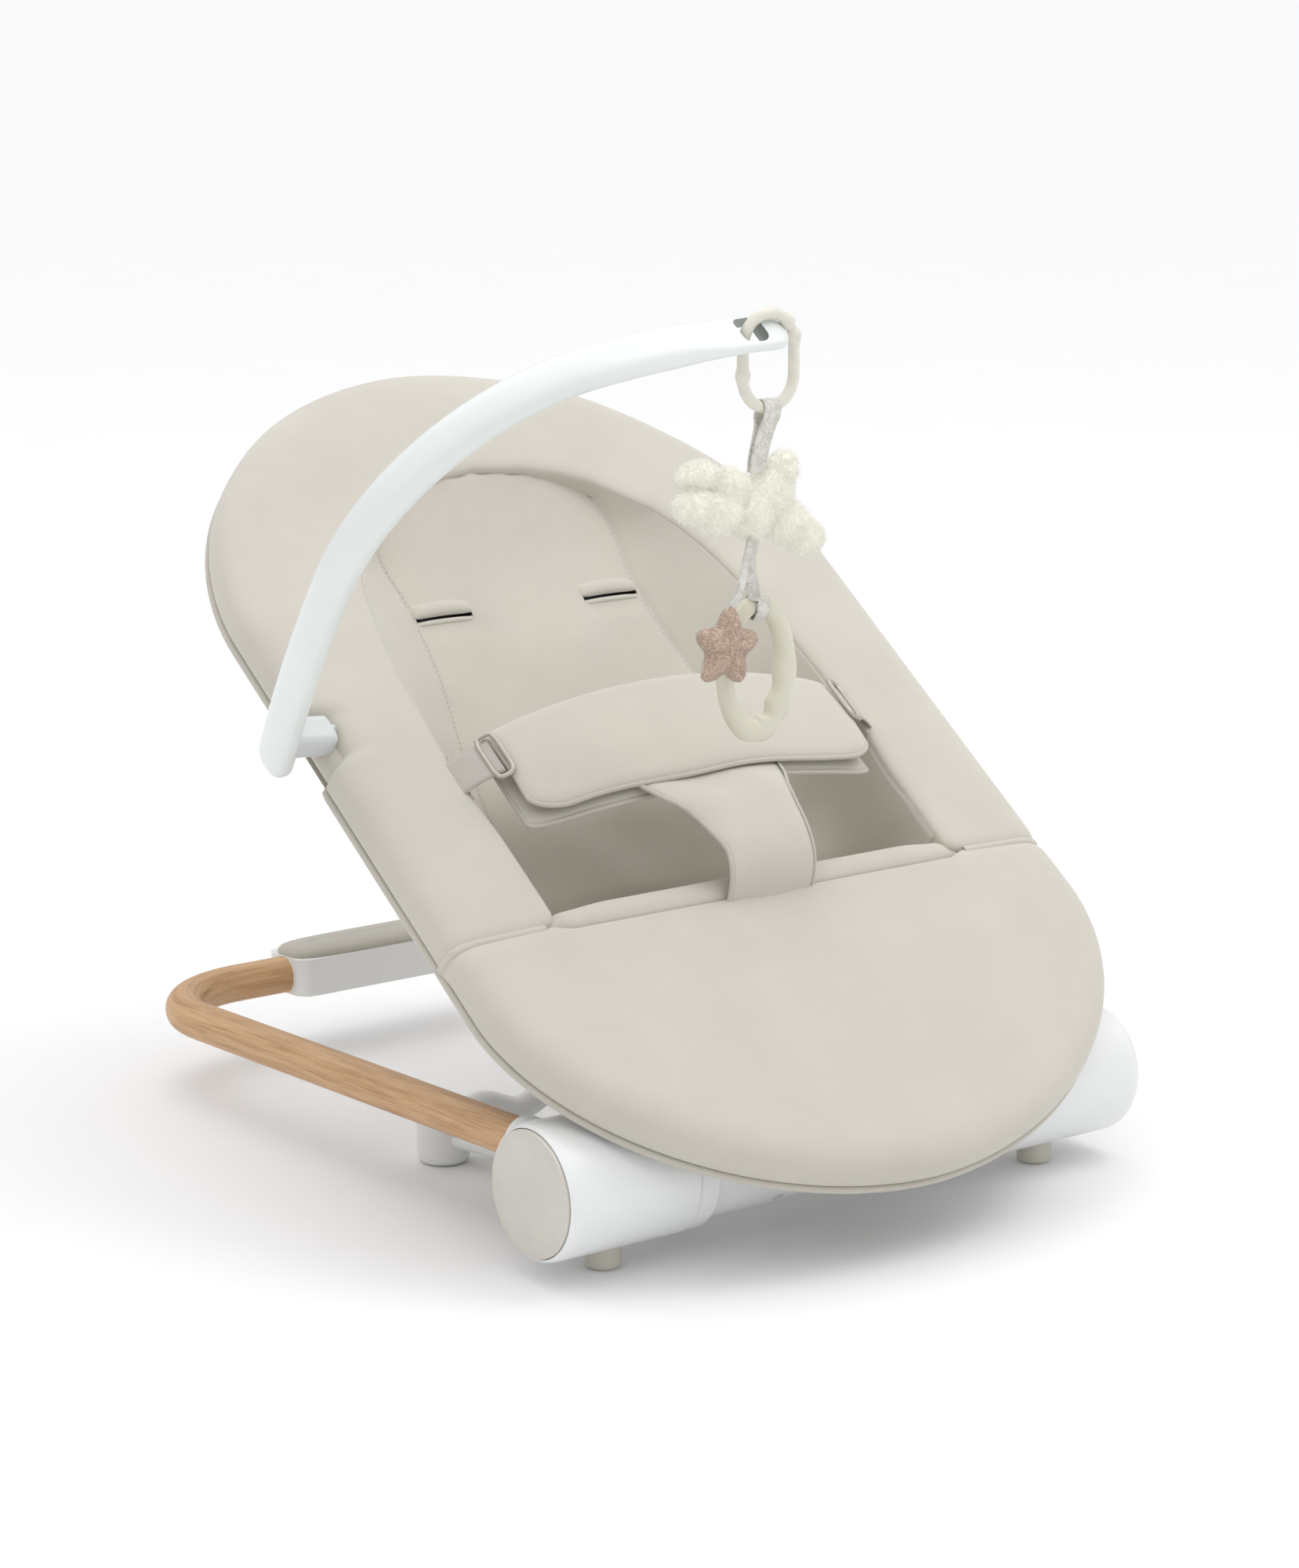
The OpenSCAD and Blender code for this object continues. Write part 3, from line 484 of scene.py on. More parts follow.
# Fabric at the bottom of the two cross seams
for s, word in ((-1, "left"), (1, "right")):
    sx = np.linspace(172, 238, 26)
    d = HALF - sx
    sn = np.r_[57.4 + rim_rise(d) + CROWN * (1 - np.exp(-d / 50)), 62, 58, 53]
    sx = np.r_[sx, 240.5, 241.2, 240.6]
    tube(f"cross_seam_{word}", seat(s * sx, np.full(29, 139.6), sn), 0.0036, *FABRIC, sides=12)

# Piping round the lower edge
loop = np.vstack([HEAD[1:], FOOT[::-1][:-1]])
loop = resample(np.vstack([loop, loop[:1]]), count=421)[:-1]
nrm = outward(loop) * -1
pin = loop - nrm * 1.6
pin[:, 0] += notch(pin[:, 0], pin[:, 1])
cross = np.exp(-((pin[:, 1] - SEAM_T) / 1.6) ** 2)
tube("rim_piping", seat(pin[:, 0], pin[:, 1], np.full(len(pin), 50.6)), 0.0026 - 0.0006 * cross,
     *PIPING, closed=True, sides=12)

# Back rest, pocket and front roll, in one surface
STITCH = [(120, 120), (250, 118), (322, 112), (400, 98), (449, 95), (490, 99), (520, 92), (560, 88)]
CENTRE = [(133, 79.2), (136, 81.8), (142, 83.6), (148, 82.8), (151.5, 79.5), (153.6, 72), (154.8, 58),
          (155.6, 40), (156.6, 18), (158.5, -4), (162, -20), (168, -28), (176, -29), (184, -22), (191, -8),
          (200, 6), (212, 13), (260, 20.5), (350, 33.8), (440, 47.2), (480, 54), (508, 61.5), (530, 69),
          (546, 75), (560, 77)]
SLOT_T = (438.2, 443.2)
# Rows of the surface, close together where it turns down behind the roll and at the harness slots
rows = np.unique(np.r_[133, 133.6, 134.6, np.arange(136, 149, 2), 149.5, 150.7, 151.6, 152.4, 153.1, 153.7,
                       154.2, 154.6, 155, 155.3, 155.6, 156, 156.6, 157.4, 158.6, 160, 162, 164.5, 167.5,
                       np.arange(171, 204, 4), np.arange(208, 436, 3.0), SLOT_T[0] - 0.6, SLOT_T,
                       SLOT_T[1] + 0.6, np.arange(447, 561, 3.0)])
cols = np.unique(np.r_[np.linspace(-1, 1, 61), 0.49, 0.494, 0.973, 0.977, -0.49, -0.494, -0.973, -0.977])
outer_cols = np.array([0.02, 0.06, 0.12, 0.2, 0.29, 0.38, 0.47, 0.56, 0.65, 0.73, 0.8, 0.86, 0.91, 0.95,
                       0.98, 1.0, 1.03, 1.1, 1.2])


def wing_x(t):
    t = np.asarray(t, float)
    side = spline(WING_IN, t)
    arch = np.array(ARCH)[::-1]
    top = np.interp(t, arch[::-1][:, 1], arch[::-1][:, 0])
    return np.where(t < 430, side, np.where(t < 546, top, 0))


xs = []
for t in rows:
    s = float(spline(STITCH, t))
    w = max(float(wing_x(t)), 0)
    edge = max(w, s + 3)
    o = s + (edge - s) * outer_cols
    xs.append(np.r_[-o[::-1], cols * s, o])
X = np.array(xs)
T = np.repeat(rows[:, None], X.shape[1], 1)
S_ = spline(STITCH, T)
W = np.maximum(wing_x(T), 1)
ax = np.abs(X)
nc = spline(CENTRE, T)
u = np.clip((ax - S_) / np.maximum(W - S_, 3), 0, 1.2)
steep = 1.25 + 1.9 * smooth(360, 200, T)
rise = np.minimum(u, 1) ** steep
edge_n = 76.5 - 1.5 * smooth(500, 545, T)
roll = smooth(158, 152, T)
n = nc + (edge_n - nc) * rise * (1 - roll)
n = n - 1.2 * np.exp(-((ax - S_) / 2.0) ** 2) * smooth(205, 250, T) * smooth(512, 500, T)
n = n - 9 * np.clip((u - 1) / 0.15, 0, 1) * (T > 150)
outside = (ax > W + 1) & (T > 430)
n = np.where(outside, np.minimum(n, edge_n - np.clip((ax - W) / 2, 0, 7)), n)
n = np.where(T > 546.5, 68, n)
# The roll sinks at its ends, where the wings start
n = n - roll * (3.5 * smooth(120, 156, ax) + 5 * smooth(152, 166, ax))
# Soft hollows and folds low in the seat, and a slight crown on the back
deep = smooth(330, 230, T) * smooth(186, 205, T)
n = n + deep * (2.6 * np.sin(X / 23 + 0.7 + T / 60) * np.exp(-((T - 235) / 42) ** 2)
                + 3.0 * np.exp(-(((X - 96) / 24) ** 2 + ((T - 236) / 20) ** 2))
                - 3.2 * np.exp(-(((X - 62) / 20) ** 2 + ((T - 250) / 30) ** 2))
                + 2.4 * np.exp(-(((X + 66) / 26) ** 2 + ((T - 262) / 26) ** 2))
                - 2.4 * np.exp(-(((X + 20) / 22) ** 2 + ((T - 240) / 30) ** 2)))
n = n + 1.3 * np.sin(X / 19 + 1.1) * np.exp(-((T - 385) / 34) ** 2) * smooth(100, 60, ax)
n = n + 1.6 * np.exp(-((T - 405) / 26) ** 2) * np.exp(-((ax - 30) / 20) ** 2)
n = n - 1.4 * np.exp(-((T - 432) / 9) ** 2) * smooth(100, 88, ax) * smooth(40, 50, ax)
P = seat(X, T, n)
slot_rows = range(np.searchsorted(rows, SLOT_T[0]), np.searchsorted(rows, SLOT_T[1]))


def in_slot(i, j):
    if i not in slot_rows:
        return False
    a, b = X[i, j] / S_[i, j], X[i, j + 1] / S_[i, j + 1]
    near, far = sorted((abs(a), abs(b)))
    return a * b > 0 and near > 0.4935 and far < 0.9735


insert = grid("back_and_pocket", P, M["insert_fabric"], "seat", "seat_fabric", flip=True, skip=in_slot)
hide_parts("seat_pocket", "back_pad")


def insert_at(x, t):
    """The back surface's place, by the nearest points of its grid."""
    x, t = np.atleast_1d(np.asarray(x, float)), np.atleast_1d(np.asarray(t, float))
    out = np.zeros(len(x))
    for k in range(len(x)):
        i = int(np.clip(np.searchsorted(rows, t[k]), 1, len(rows) - 1))
        a = np.interp(x[k], X[i - 1], n[i - 1])
        b = np.interp(x[k], X[i], n[i])
        w = (t[k] - rows[i - 1]) / (rows[i] - rows[i - 1])
        out[k] = a + (b - a) * w
    return out


N_UP = np.array([0, -SIN, COS])
for s, word in ((-1, "left"), (1, "right")):
    for where, tt in (("", np.linspace(228, 436, 90)), ("high_", np.linspace(450, 498, 24))):
        xx = s * (spline(STITCH, tt) - 1.6)
        dashes(f"back_stitch_{where}{word}", seat(xx, tt, insert_at(xx, tt) + 0.15), N_UP, *THREAD)
    # Harness slot: inner walls, a padded lip above it and a thin one below
    x0, x1 = s * 46.6, s * 93.2
    a, b = min(x0, x1), max(x0, x1)
    t0, t1 = SLOT_T[0] - 0.8, SLOT_T[1] + 0.8
    ring = [(a, t0), (b, t0), (b, t1), (a, t1)]
    top = np.array([seat(x, t, insert_at(x, t)[0] + 0.1) for x, t in ring])
    down = np.array([seat(x, t, insert_at(x, t)[0] - 15) for x, t in ring])
    walls = [(k, (k + 1) % 4, 4 + (k + 1) % 4, 4 + k) for k in range(4)]
    build(f"slot_wall_{word}", np.vstack([top, down]), walls, M["shadow"], "seat")
    for kind, t_mid, half, high, arch in (("lip", 445.9, 6.4, 3.4, 1.4), ("edge", 436.6, 2.3, 1.7, 0.6)):
        lx = np.linspace(a - 1.5, b + 1.5, 25)
        k = (lx - (a + b) / 2) / ((b - a) / 2 + 1.5)
        fade = np.sqrt(np.clip(1 - k ** 4, 0.0, 1))
        aa = np.linspace(0, math.pi, 11)
        tm = t_mid + arch * (1 - k * k)
        Lt = tm[:, None] - half * np.cos(aa) * (0.55 + 0.45 * fade[:, None])
        Ln = insert_at(lx, tm)[:, None] - 1.2 + (high + 0.8) * np.sin(aa) ** 0.8 * fade[:, None]
        lip = grid(f"slot_{kind}_{word}", seat(lx[:, None], Lt, Ln), *FABRIC)
        if kind == "lip" and s < 0:
            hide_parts("slot_trims")

# Underside: hangs from the rim and covers the back board
UNDER = [(140, 50), (142, 30), (143.5, 0), (146, -22), (152, -36), (163, -42.5), (176, -39), (187, -26),
         (196, -15.5), (250, -6.5), (400, 17), (540, 38.5), (580, 43), (646, 45.4)]
HEM_N = 45.2
ut = np.r_[140, 140.8, 141.6, 142.3, 143, 143.6, 144.4, 145.4, 147, 149, 152, 156, 161, 167, 173, 179, 184,
           188, 192, 197, np.arange(204, 640, 6.0), 642]
uu = np.linspace(-1, 1, 81)
head_w = np.interp(ut, HEAD[:200][:, 1], -HEAD[:200][:, 0], left=HALF)
UX = uu[None] * (head_w[:, None] - 8)
UT = np.repeat(ut[:, None], len(uu), 1)
mid = spline(UNDER, UT)
w = smooth(208, 158, np.abs(UX))
rim_w = smooth(0, 34, head_w[:, None] - np.abs(UX) - 8)
UN = HEM_N + (mid - HEM_N) * w * rim_w
UN += 1.2 * np.sin(UX / 27 + UT / 55) * w * rim_w
under_o = grid("underside_cover", seat(UX, UT, UN), *FABRIC)
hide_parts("back_board")

# Crotch strap, with piping on its left edge
CH = [(0, 131, 79.5), (0.06, 133, 86), (0.16, 138, 96.5), (0.28, 147, 105.5), (0.42, 162, 112),
      (0.58, 184, 114.5), (0.74, 206, 110), (0.86, 226, 103), (1, 250, 97)]
v = np.linspace(0, 1, 60)
ct, cn = spline([(a, b) for a, b, c in CH], v), spline([(a, c) for a, b, c in CH], v)
xl = spline([(0, -34), (0.3, -34), (0.45, -41), (0.6, -50), (0.74, -60), (1, -70)], v)
xr = spline([(0, 34), (0.35, 34), (0.5, 35), (0.62, 38), (0.74, 46), (1, 60)], v)
k = np.linspace(0, 1, 25)
CX = xl[:, None] + (xr - xl)[:, None] * k
swell = 2.3 * (1 - (2 * k - 1) ** 6)[None] * np.ones((60, 1))
crease = 0.8 * np.sin(CX / 6.5 + 1.5 * np.sin(ct[:, None] / 17)) * np.exp(-((ct - 140) / 16) ** 2)[:, None]
crease += 0.9 * np.sin((CX + ct[:, None]) / 11) * np.exp(-((ct - 204) / 16) ** 2)[:, None]
dt, dn = np.gradient(ct), np.gradient(cn)
ln = np.hypot(dt, dn)
nt, nn = -dn / ln, dt / ln
up_t = ct[:, None] + nt[:, None] * (swell + crease)
up_n = cn[:, None] + nn[:, None] * (swell + crease)
dn_t, dn_n = ct[:, None] - nt[:, None] * swell * 0.4, cn[:, None] - nn[:, None] * swell * 0.4
A, B = seat(CX, up_t, up_n), seat(CX, dn_t, dn_n)
rings = np.concatenate([A, B[:, ::-1][:, 1:-1]], 1)
strap = grid("crotch_strap_cover", rings, *FABRIC, wrap_v=True)
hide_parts("crotch_strap")
for word, xe, r in (("left", xl, 0.0016), ("right", xr, 0.001)):
    tube(f"crotch_piping_{word}", seat(xe, ct + nt * 0.4, cn + nn * 0.4)[:-6], r, *PIPING, sides=8)
lx = np.linspace(-33, 33, 40)
dashes("crotch_stitch", seat(lx, 132.6, 85.8), N_UP + [0, -0.6, 0], *THREAD)

# Fold line on the foot panel: a thin tube in the darker thread colour stands for its fine crease and paints
# the crease's shade
lx = np.linspace(-158, 158, 90)
tube("foot_fold", seat(lx, 132.9, 79.3 - 2.4 * smooth(130, 158, np.abs(lx))), 0.0007, *THREAD, sides=6)

# Belt pad: one padded piece folded over its top edge, with piping round both layers
def belt_n(x):
    return 111.5 - 17 * (x / 140) ** 2


def belt_corner(x, size):
    """How far the lower edge rises at x, where it rounds into the pad's end."""
    return size * (1 - np.sqrt(np.clip(1 - np.clip((x - 112) / 28, 0, 1) ** 2, 0, 1)))


BELT_HALF = 139
belt_end = np.array([131, 134.5, 137, 138.4, BELT_HALF])
BX = np.r_[-belt_end[::-1], np.linspace(-126, 126, 64), belt_end]
corner_l, corner_r = belt_corner(-BX, 20), belt_corner(BX, 16)
top_t = 300 - 10 * (BX / BELT_HALF) ** 2
front_low = 218 + corner_l + corner_r + 1.2 * np.sin(BX / 19)
rear_low = 214.5 + 0.35 * (corner_l + corner_r) + 1.0 * np.sin(BX / 23 + 1)


def belt_line(k):
    """The folded pad's middle line at station k: up the front, round the fold and down the rear."""
    gap = 4.6 + 2.4 * (BX[k] / BELT_HALF) ** 4
    f_t = np.linspace(front_low[k], top_t[k] - gap, 20)
    f_n = belt_n(BX[k]) + 3.0 * np.sin(np.linspace(0, math.pi, 20)) * (1 - 0.4 * (BX[k] / BELT_HALF) ** 2)
    a = np.linspace(math.pi / 2, -math.pi / 2, 9)[1:-1]
    c_t, c_n = top_t[k] - gap + gap * np.cos(a), belt_n(BX[k]) - gap + gap * np.sin(a)
    r_t = np.linspace(top_t[k] - gap, rear_low[k], 18)
    r_n = belt_n(BX[k]) - 2 * gap - 1.0 * np.sin(np.linspace(0, math.pi, 18))
    return np.r_[f_t, c_t, r_t], np.r_[f_n, c_n, r_n]


layers, edge_f, edge_r = [], [], []
for k in range(len(BX)):
    lt, lnn = belt_line(k)
    d_t, d_n = np.gradient(lt), np.gradient(lnn)
    L = np.hypot(d_t, d_n)
    o_t, o_n = d_n / L, -d_t / L
    near_x = np.clip((BELT_HALF + 0.4 - abs(BX[k])) / 11, 0, 1)
    along = np.r_[0, np.cumsum(np.hypot(np.diff(lt), np.diff(lnn)))]
    near = np.clip(np.minimum(along, along[-1] - along) / 11, 0, 1)
    th = (0.9 + 2.5 * np.sqrt(1 - (1 - near) ** 2)) * (0.25 + 0.75 * math.sqrt(1 - (1 - near_x) ** 2))
    inner_side = seat(BX[k], lt + o_t * th, lnn + o_n * th)
    outer_side = seat(BX[k], lt - o_t * th, lnn - o_n * th)
    layers.append(np.vstack([inner_side, outer_side[::-1]]))
    edge_f.append((BX[k], lt[0], lnn[0]))
    edge_r.append((BX[k], lt[-1], lnn[-1]))
belt = grid("belt_pad_cover", np.array(layers), *FABRIC, wrap_v=True)
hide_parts("belt_pad")


def side_edge(k, upto):
    lt, lnn = belt_line(k)
    return [(BX[k], lt[i], lnn[i]) for i in upto]


front_path = side_edge(0, range(26, 0, -1)) + edge_f + side_edge(-1, range(1, 27))
rear_path = side_edge(0, range(30, 45)) + edge_r + side_edge(-1, range(44, 29, -1))
for word, path in (("front", front_path), ("rear", rear_path)):
    tube(f"belt_piping_{word}", seat(*resample(path, count=170).T), 0.0018, *PIPING, sides=8)
q = resample([(x * 0.965, t + 5.5, m + 3.2) for x, t, m in edge_f], count=120)
dashes("belt_stitch", seat(*q.T), N_UP, *THREAD, length=2.2, gap=1.4)

# Webbing and loops
def rounded_box(a, half_w, half_h, power):
    """Points at the angles a of an outline between an oval, at power 2, and a rectangle."""
    c, s = np.cos(a), np.sin(a)
    r = (np.abs(c / half_w) ** power + np.abs(s / half_h) ** power) ** (-1 / power)
    return r * c, r * s


for s, word in ((-1, "left"), (1, "right")):
    wx = np.linspace(175, 143, 14)
    wn = spline([(0, 74), (0.25, 82), (0.6, 91), (1, 97)], np.linspace(0, 1, 14))
    wt = np.linspace(256, 283, 9)
    Wx, Wt = np.meshgrid(s * wx, wt, indexing="ij")
    Wn = np.repeat(wn[:, None], 9, 1)
    face = seat(Wx, Wt, Wn)
    back = seat(Wx, Wt, Wn - 1.5)
    both = np.concatenate([face, back[:, ::-1]], 1)
    webbing = grid(f"belt_webbing_{word}", both, M["webbing"], "seat", "webbing", wrap_v=True, flip=s < 0)
    # The metal loop is a rounded rectangle that leans with the belt
    dx, dt = rounded_box(np.linspace(0, 2 * math.pi, 40, endpoint=False), 6.5, 17.5, 5)
    ring_o = tube(f"belt_ring_{word}", seat(s * (144.5 + dx * 0.86), 269.5 + dt, 97.5 - dx * 0.5), 0.0017,
                  M["ring_metal"], "seat", "steel", closed=True, sides=10)
    if s < 0:
        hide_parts("belt_webbing")
        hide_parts("belt_rings")
    # The seam strip where the webbing enters the wing
    st = np.linspace(252, 290, 20)
    sx = s * (spline(WING_IN, st) + 1.0)
    tube(f"webbing_seam_{word}", seat(sx, st, 78.2), 0.0011, *PIPING, sides=6)

# ---- Toy bar's socket, with fabric behind it in the cover's opening ----
BAR_T, BAR_SIDE, BAR_TOP, TIP_X = 330.0, 275.0, 391.0, -9.0
tube("socket_liner", seat(-227.0, np.linspace(290, 358, 12), 58.0), 0.0112, M["insert_fabric"], "seat",
     "seat_fabric", sides=20)
full, rad = rounded_ends(seat(np.linspace(-263, -232, 8), BAR_T, np.linspace(74, 71, 8)), 0.0098, 0.003, 6)
socket = tube("socket_smooth", full, rad, M["socket_white"], "seat", "white_plastic", sides=40, up=N_UP,
              aspect=1.22, power=4)
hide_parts("bar_socket")

# ---- Toy bar ----
SIDE_R, SH_R, SH_N, PIV = 1100.0, 170.0, 210.0, 74.0
sh_x = SH_R - BAR_SIDE
cr_r = ((TIP_X - sh_x) ** 2 + (BAR_TOP - SH_N) ** 2 - SH_R ** 2) / (2 * (BAR_TOP - SH_N - SH_R))
cr_n = BAR_TOP - cr_r
cr_a = math.atan2(SH_N - cr_n, sh_x - TIP_X)
side_a = math.asin((SH_N - PIV + 16) / SIDE_R)


def arc_xy(cx, cy, r, a0, a1, count):
    a = np.linspace(a0, a1, count)
    return np.stack([cx + r * np.cos(a), cy + r * np.sin(a)], -1)


bar = np.vstack([arc_xy(SIDE_R - BAR_SIDE, SH_N, SIDE_R, math.pi + side_a, math.pi, 24),
                 arc_xy(sh_x, SH_N, SH_R, math.pi, cr_a, 50)[1:],
                 arc_xy(TIP_X, cr_n, cr_r, cr_a, math.pi / 2 + 0.012, 40)[1:]])
bar = resample(bar, count=150)
HALF_W, END_ROWS = 15.0, 9
thick = 9.0 - 4.0 * smooth(-95, -40, bar[:, 0])
full, rad = rounded_ends(seat(bar[:, 0], BAR_T, bar[:, 1]), thick / 1000, 0.0125, END_ROWS)
ratio = HALF_W / np.pad(thick, END_ROWS, mode="edge")
across_bar = np.cross(frames_along(full), (0, COS, SIN))
bar_o = tube("toy_bar_smooth", full, rad, M["bar_white"], "toy_bar", "white_plastic", sides=48, up=across_bar,
             aspect=ratio, power=2.5)
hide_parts("toy_bar")
pin_o = tube("bar_pin_smooth", seat(np.linspace(-262, -227, 6), BAR_T, PIV), 0.0049, M["steel"], "toy_bar",
             "steel", sides=20)
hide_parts("bar_pin")
# The slot that the link hangs in, cut through the bar near its tip
HOLE_X, HOLE_T = (-41.5, -22.0), (BAR_T - 11, BAR_T + 11)
cut = bpy.data.meshes.new("slot_cutter")
ends = [(HOLE_X[0], HOLE_T[0]), (HOLE_X[1], HOLE_T[0]), (HOLE_X[1], HOLE_T[1]), (HOLE_X[0], HOLE_T[1])]
corners = [tuple(seat(x, t, m)) for m in (BAR_TOP - 22, BAR_TOP + 22) for x, t in ends]
sides = [(k, (k + 1) % 4, (k + 1) % 4 + 4, k + 4) for k in range(4)]
cut.from_pydata(corners, [], [(0, 3, 2, 1), (4, 5, 6, 7)] + sides)
cutter = bpy.data.objects.new("slot_cutter", cut)
bpy.context.scene.collection.objects.link(cutter)
bev = cutter.modifiers.new("round", "BEVEL")
bev.width, bev.segments = 0.006, 5
mod = bar_o.modifiers.new("hole", "BOOLEAN")
mod.operation, mod.object, mod.solver = "DIFFERENCE", cutter, "EXACT"


def apply(o):
    dg = bpy.context.evaluated_depsgraph_get()
    me = bpy.data.meshes.new_from_object(o.evaluated_get(dg), preserve_all_data_layers=True, depsgraph=dg)
    o.modifiers.clear()
    o.data = me


apply(bar_o)
bpy.data.objects.remove(cutter)

# ---- Link, ribbons and toys ----
tip = seat(0, BAR_T, BAR_TOP) * 1000
LX, LY = -16.0, float(tip[1])
TIP_Z = float(tip[2])
TOP_Z = TIP_Z + 12
LOW_Z = TOP_Z - 59.5


def link_path():
    r, run = 20.25, 19.0
    a = np.linspace(0, math.pi, 26)
    up = np.stack([LX + r * np.cos(a), TOP_Z - r + r * np.sin(a)], -1)
    down = np.stack([LX - r * np.cos(a), TOP_Z - r - run - r * np.sin(a)], -1)
    return resample(np.vstack([up, down, up[:1]]), count=121)[:-1]


lk = link_path()
pts = np.insert(lk, 1, LY, axis=1) / 1000
# Bulges at the catch and at the moulding's joint, and the groove of the opening
bulge = np.zeros(len(lk))
for spot, size in (((LX + 15.5, TOP_Z - 6), 1.4), ((LX + 20.2, TOP_Z - 15), 1.5),
                   ((LX - 19.6, TOP_Z - 38), 1.2)):
    d = np.hypot(lk[:, 0] - spot[0], lk[:, 1] - spot[1])
    bulge += size * np.exp(-(d / 3.6) ** 2)
gapd = np.hypot(lk[:, 0] - (LX + 18.6), lk[:, 1] - (TOP_Z - 10.5))
bulge -= 1.6 * np.exp(-(gapd / 1.5) ** 2)
link_o = tube("toy_link_ring", pts, (3.75 + bulge) / 1000, M["ivory_plastic"], "toy_link", "ivory_plastic",
              closed=True, sides=20)
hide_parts("toy_link")

PLUSH_X, PLUSH_Z = LX - 11, LOW_Z - 62
PLUSH_LOW = PLUSH_Z - 27
KNOT_Z = PLUSH_LOW - 24
STAR = (LX - 40, LY - 9, KNOT_Z - 34)
TEETH = (LX - 4, LY + 7, KNOT_Z - 54)


def band(name, centre, width, normal, mat, body, slot, thick=1.0):
    """A flat ribbon along a centre line in millimetres; width across, normal the way its face looks."""
    c = np.array(centre, float)
    tan = frames_along(c)
    nrm = np.broadcast_to(np.asarray(normal, float), c.shape)
    nrm = nrm - tan * (nrm * tan).sum(1)[:, None]
    nrm = nrm / np.linalg.norm(nrm, axis=1)[:, None]
    side = np.cross(tan, nrm)
    w = np.broadcast_to(np.asarray(width, float), (len(c),))
    k = np.linspace(-0.5, 0.5, 7)
    face = c[:, None] + side[:, None] * (w[:, None] * k)[..., None] + nrm[:, None] * (thick / 2)
    back = face - nrm[:, None] * thick
    ring = np.concatenate([face, back[:, ::-1]], 1) / 1000
    return grid(name, ring, mat, body, slot, wrap_v=True)


# Ribbon looped round the link's lower end
a = np.linspace(-0.15 * math.pi, 1.15 * math.pi, 22)
loop_y, loop_z = 5.2 * np.cos(a), LOW_Z + 0.5 + 5.2 * np.sin(a)
low = np.linspace(LOW_Z - 6, PLUSH_Z + 22, 24)
front_y = LY - 1.4 - 3.6 * np.exp(-(low[0] - low) / 6)
front_x = LX - 9 * smooth(LOW_Z + 4, PLUSH_Z + 22, low)
cent = [(LX, LY - y, z) for y, z in zip(loop_y, loop_z)]
front = [(x, y, z) for x, y, z in zip(front_x, front_y, low)]
back = [(x, 2 * LY - y, z) for x, y, z in zip(front_x, front_y, low)]
line = back[::-1] + cent[::-1] + front
line = resample(np.array(line), count=80)
rib_n = np.cross(frames_along(line), (1, 0, 0))
ribbon_o = band("plush_ribbon_loop", line, 12.5, rib_n, M["ribbon"], "plush", "ribbon")
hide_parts("plush_ribbon")

# Plush toy: a soft cloud-like body with two long lobes, a rounded end and long pile
blobs = [((-3, 0, -3), (27, 19, 22)), ((-43, 2, 24), (21, 12, 10)), ((-20, 1, 14), (24, 14, 15)),
         ((-50, -4, 6), (19, 13, 11)), ((-30, -3, 0), (24, 16, 15)), ((23, 1, 22), (12, 12, 15)),
         ((12, 0, 8), (20, 16, 18)), ((24, -2, -11), (19, 15, 16)), ((38, -4, -21), (15, 12, 13))]
mb = bpy.data.metaballs.new("plush_base")
mb.resolution, mb.threshold = 0.0022, 0.35
mbo = bpy.data.objects.new("plush_base", mb)
bpy.context.scene.collection.objects.link(mbo)
for c, s in blobs:
    e = mb.elements.new(type="ELLIPSOID")
    e.co = ((PLUSH_X + c[0]) / 1000, (LY + c[1]) / 1000, (PLUSH_Z + c[2]) / 1000)
    e.radius = 0.001
    e.size_x, e.size_y, e.size_z = s[0] * 1.1, s[1] * 1.1, s[2] * 1.1
    e.stiffness = 3
bpy.context.view_layer.update()
dg = bpy.context.evaluated_depsgraph_get()
plush_me = bpy.data.meshes.new_from_object(mbo.evaluated_get(dg), depsgraph=dg)
bpy.data.objects.remove(mbo)
co = np.zeros(len(plush_me.vertices) * 3)
plush_me.vertices.foreach_get("co", co)
co = co.reshape(-1, 3)
no = np.array([v.normal for v in plush_me.vertices])
lump = np.array([0.0022 * noise3(Vector(c) * 130) + 0.0012 * noise3(Vector(c) * 420) for c in co])
co = co + no * lump[:, None]
faces = [tuple(p.vertices) for p in plush_me.polygons]
plush_o = build("plush_toy", co, faces, M["plush"], "plush")
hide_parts("plush_body")


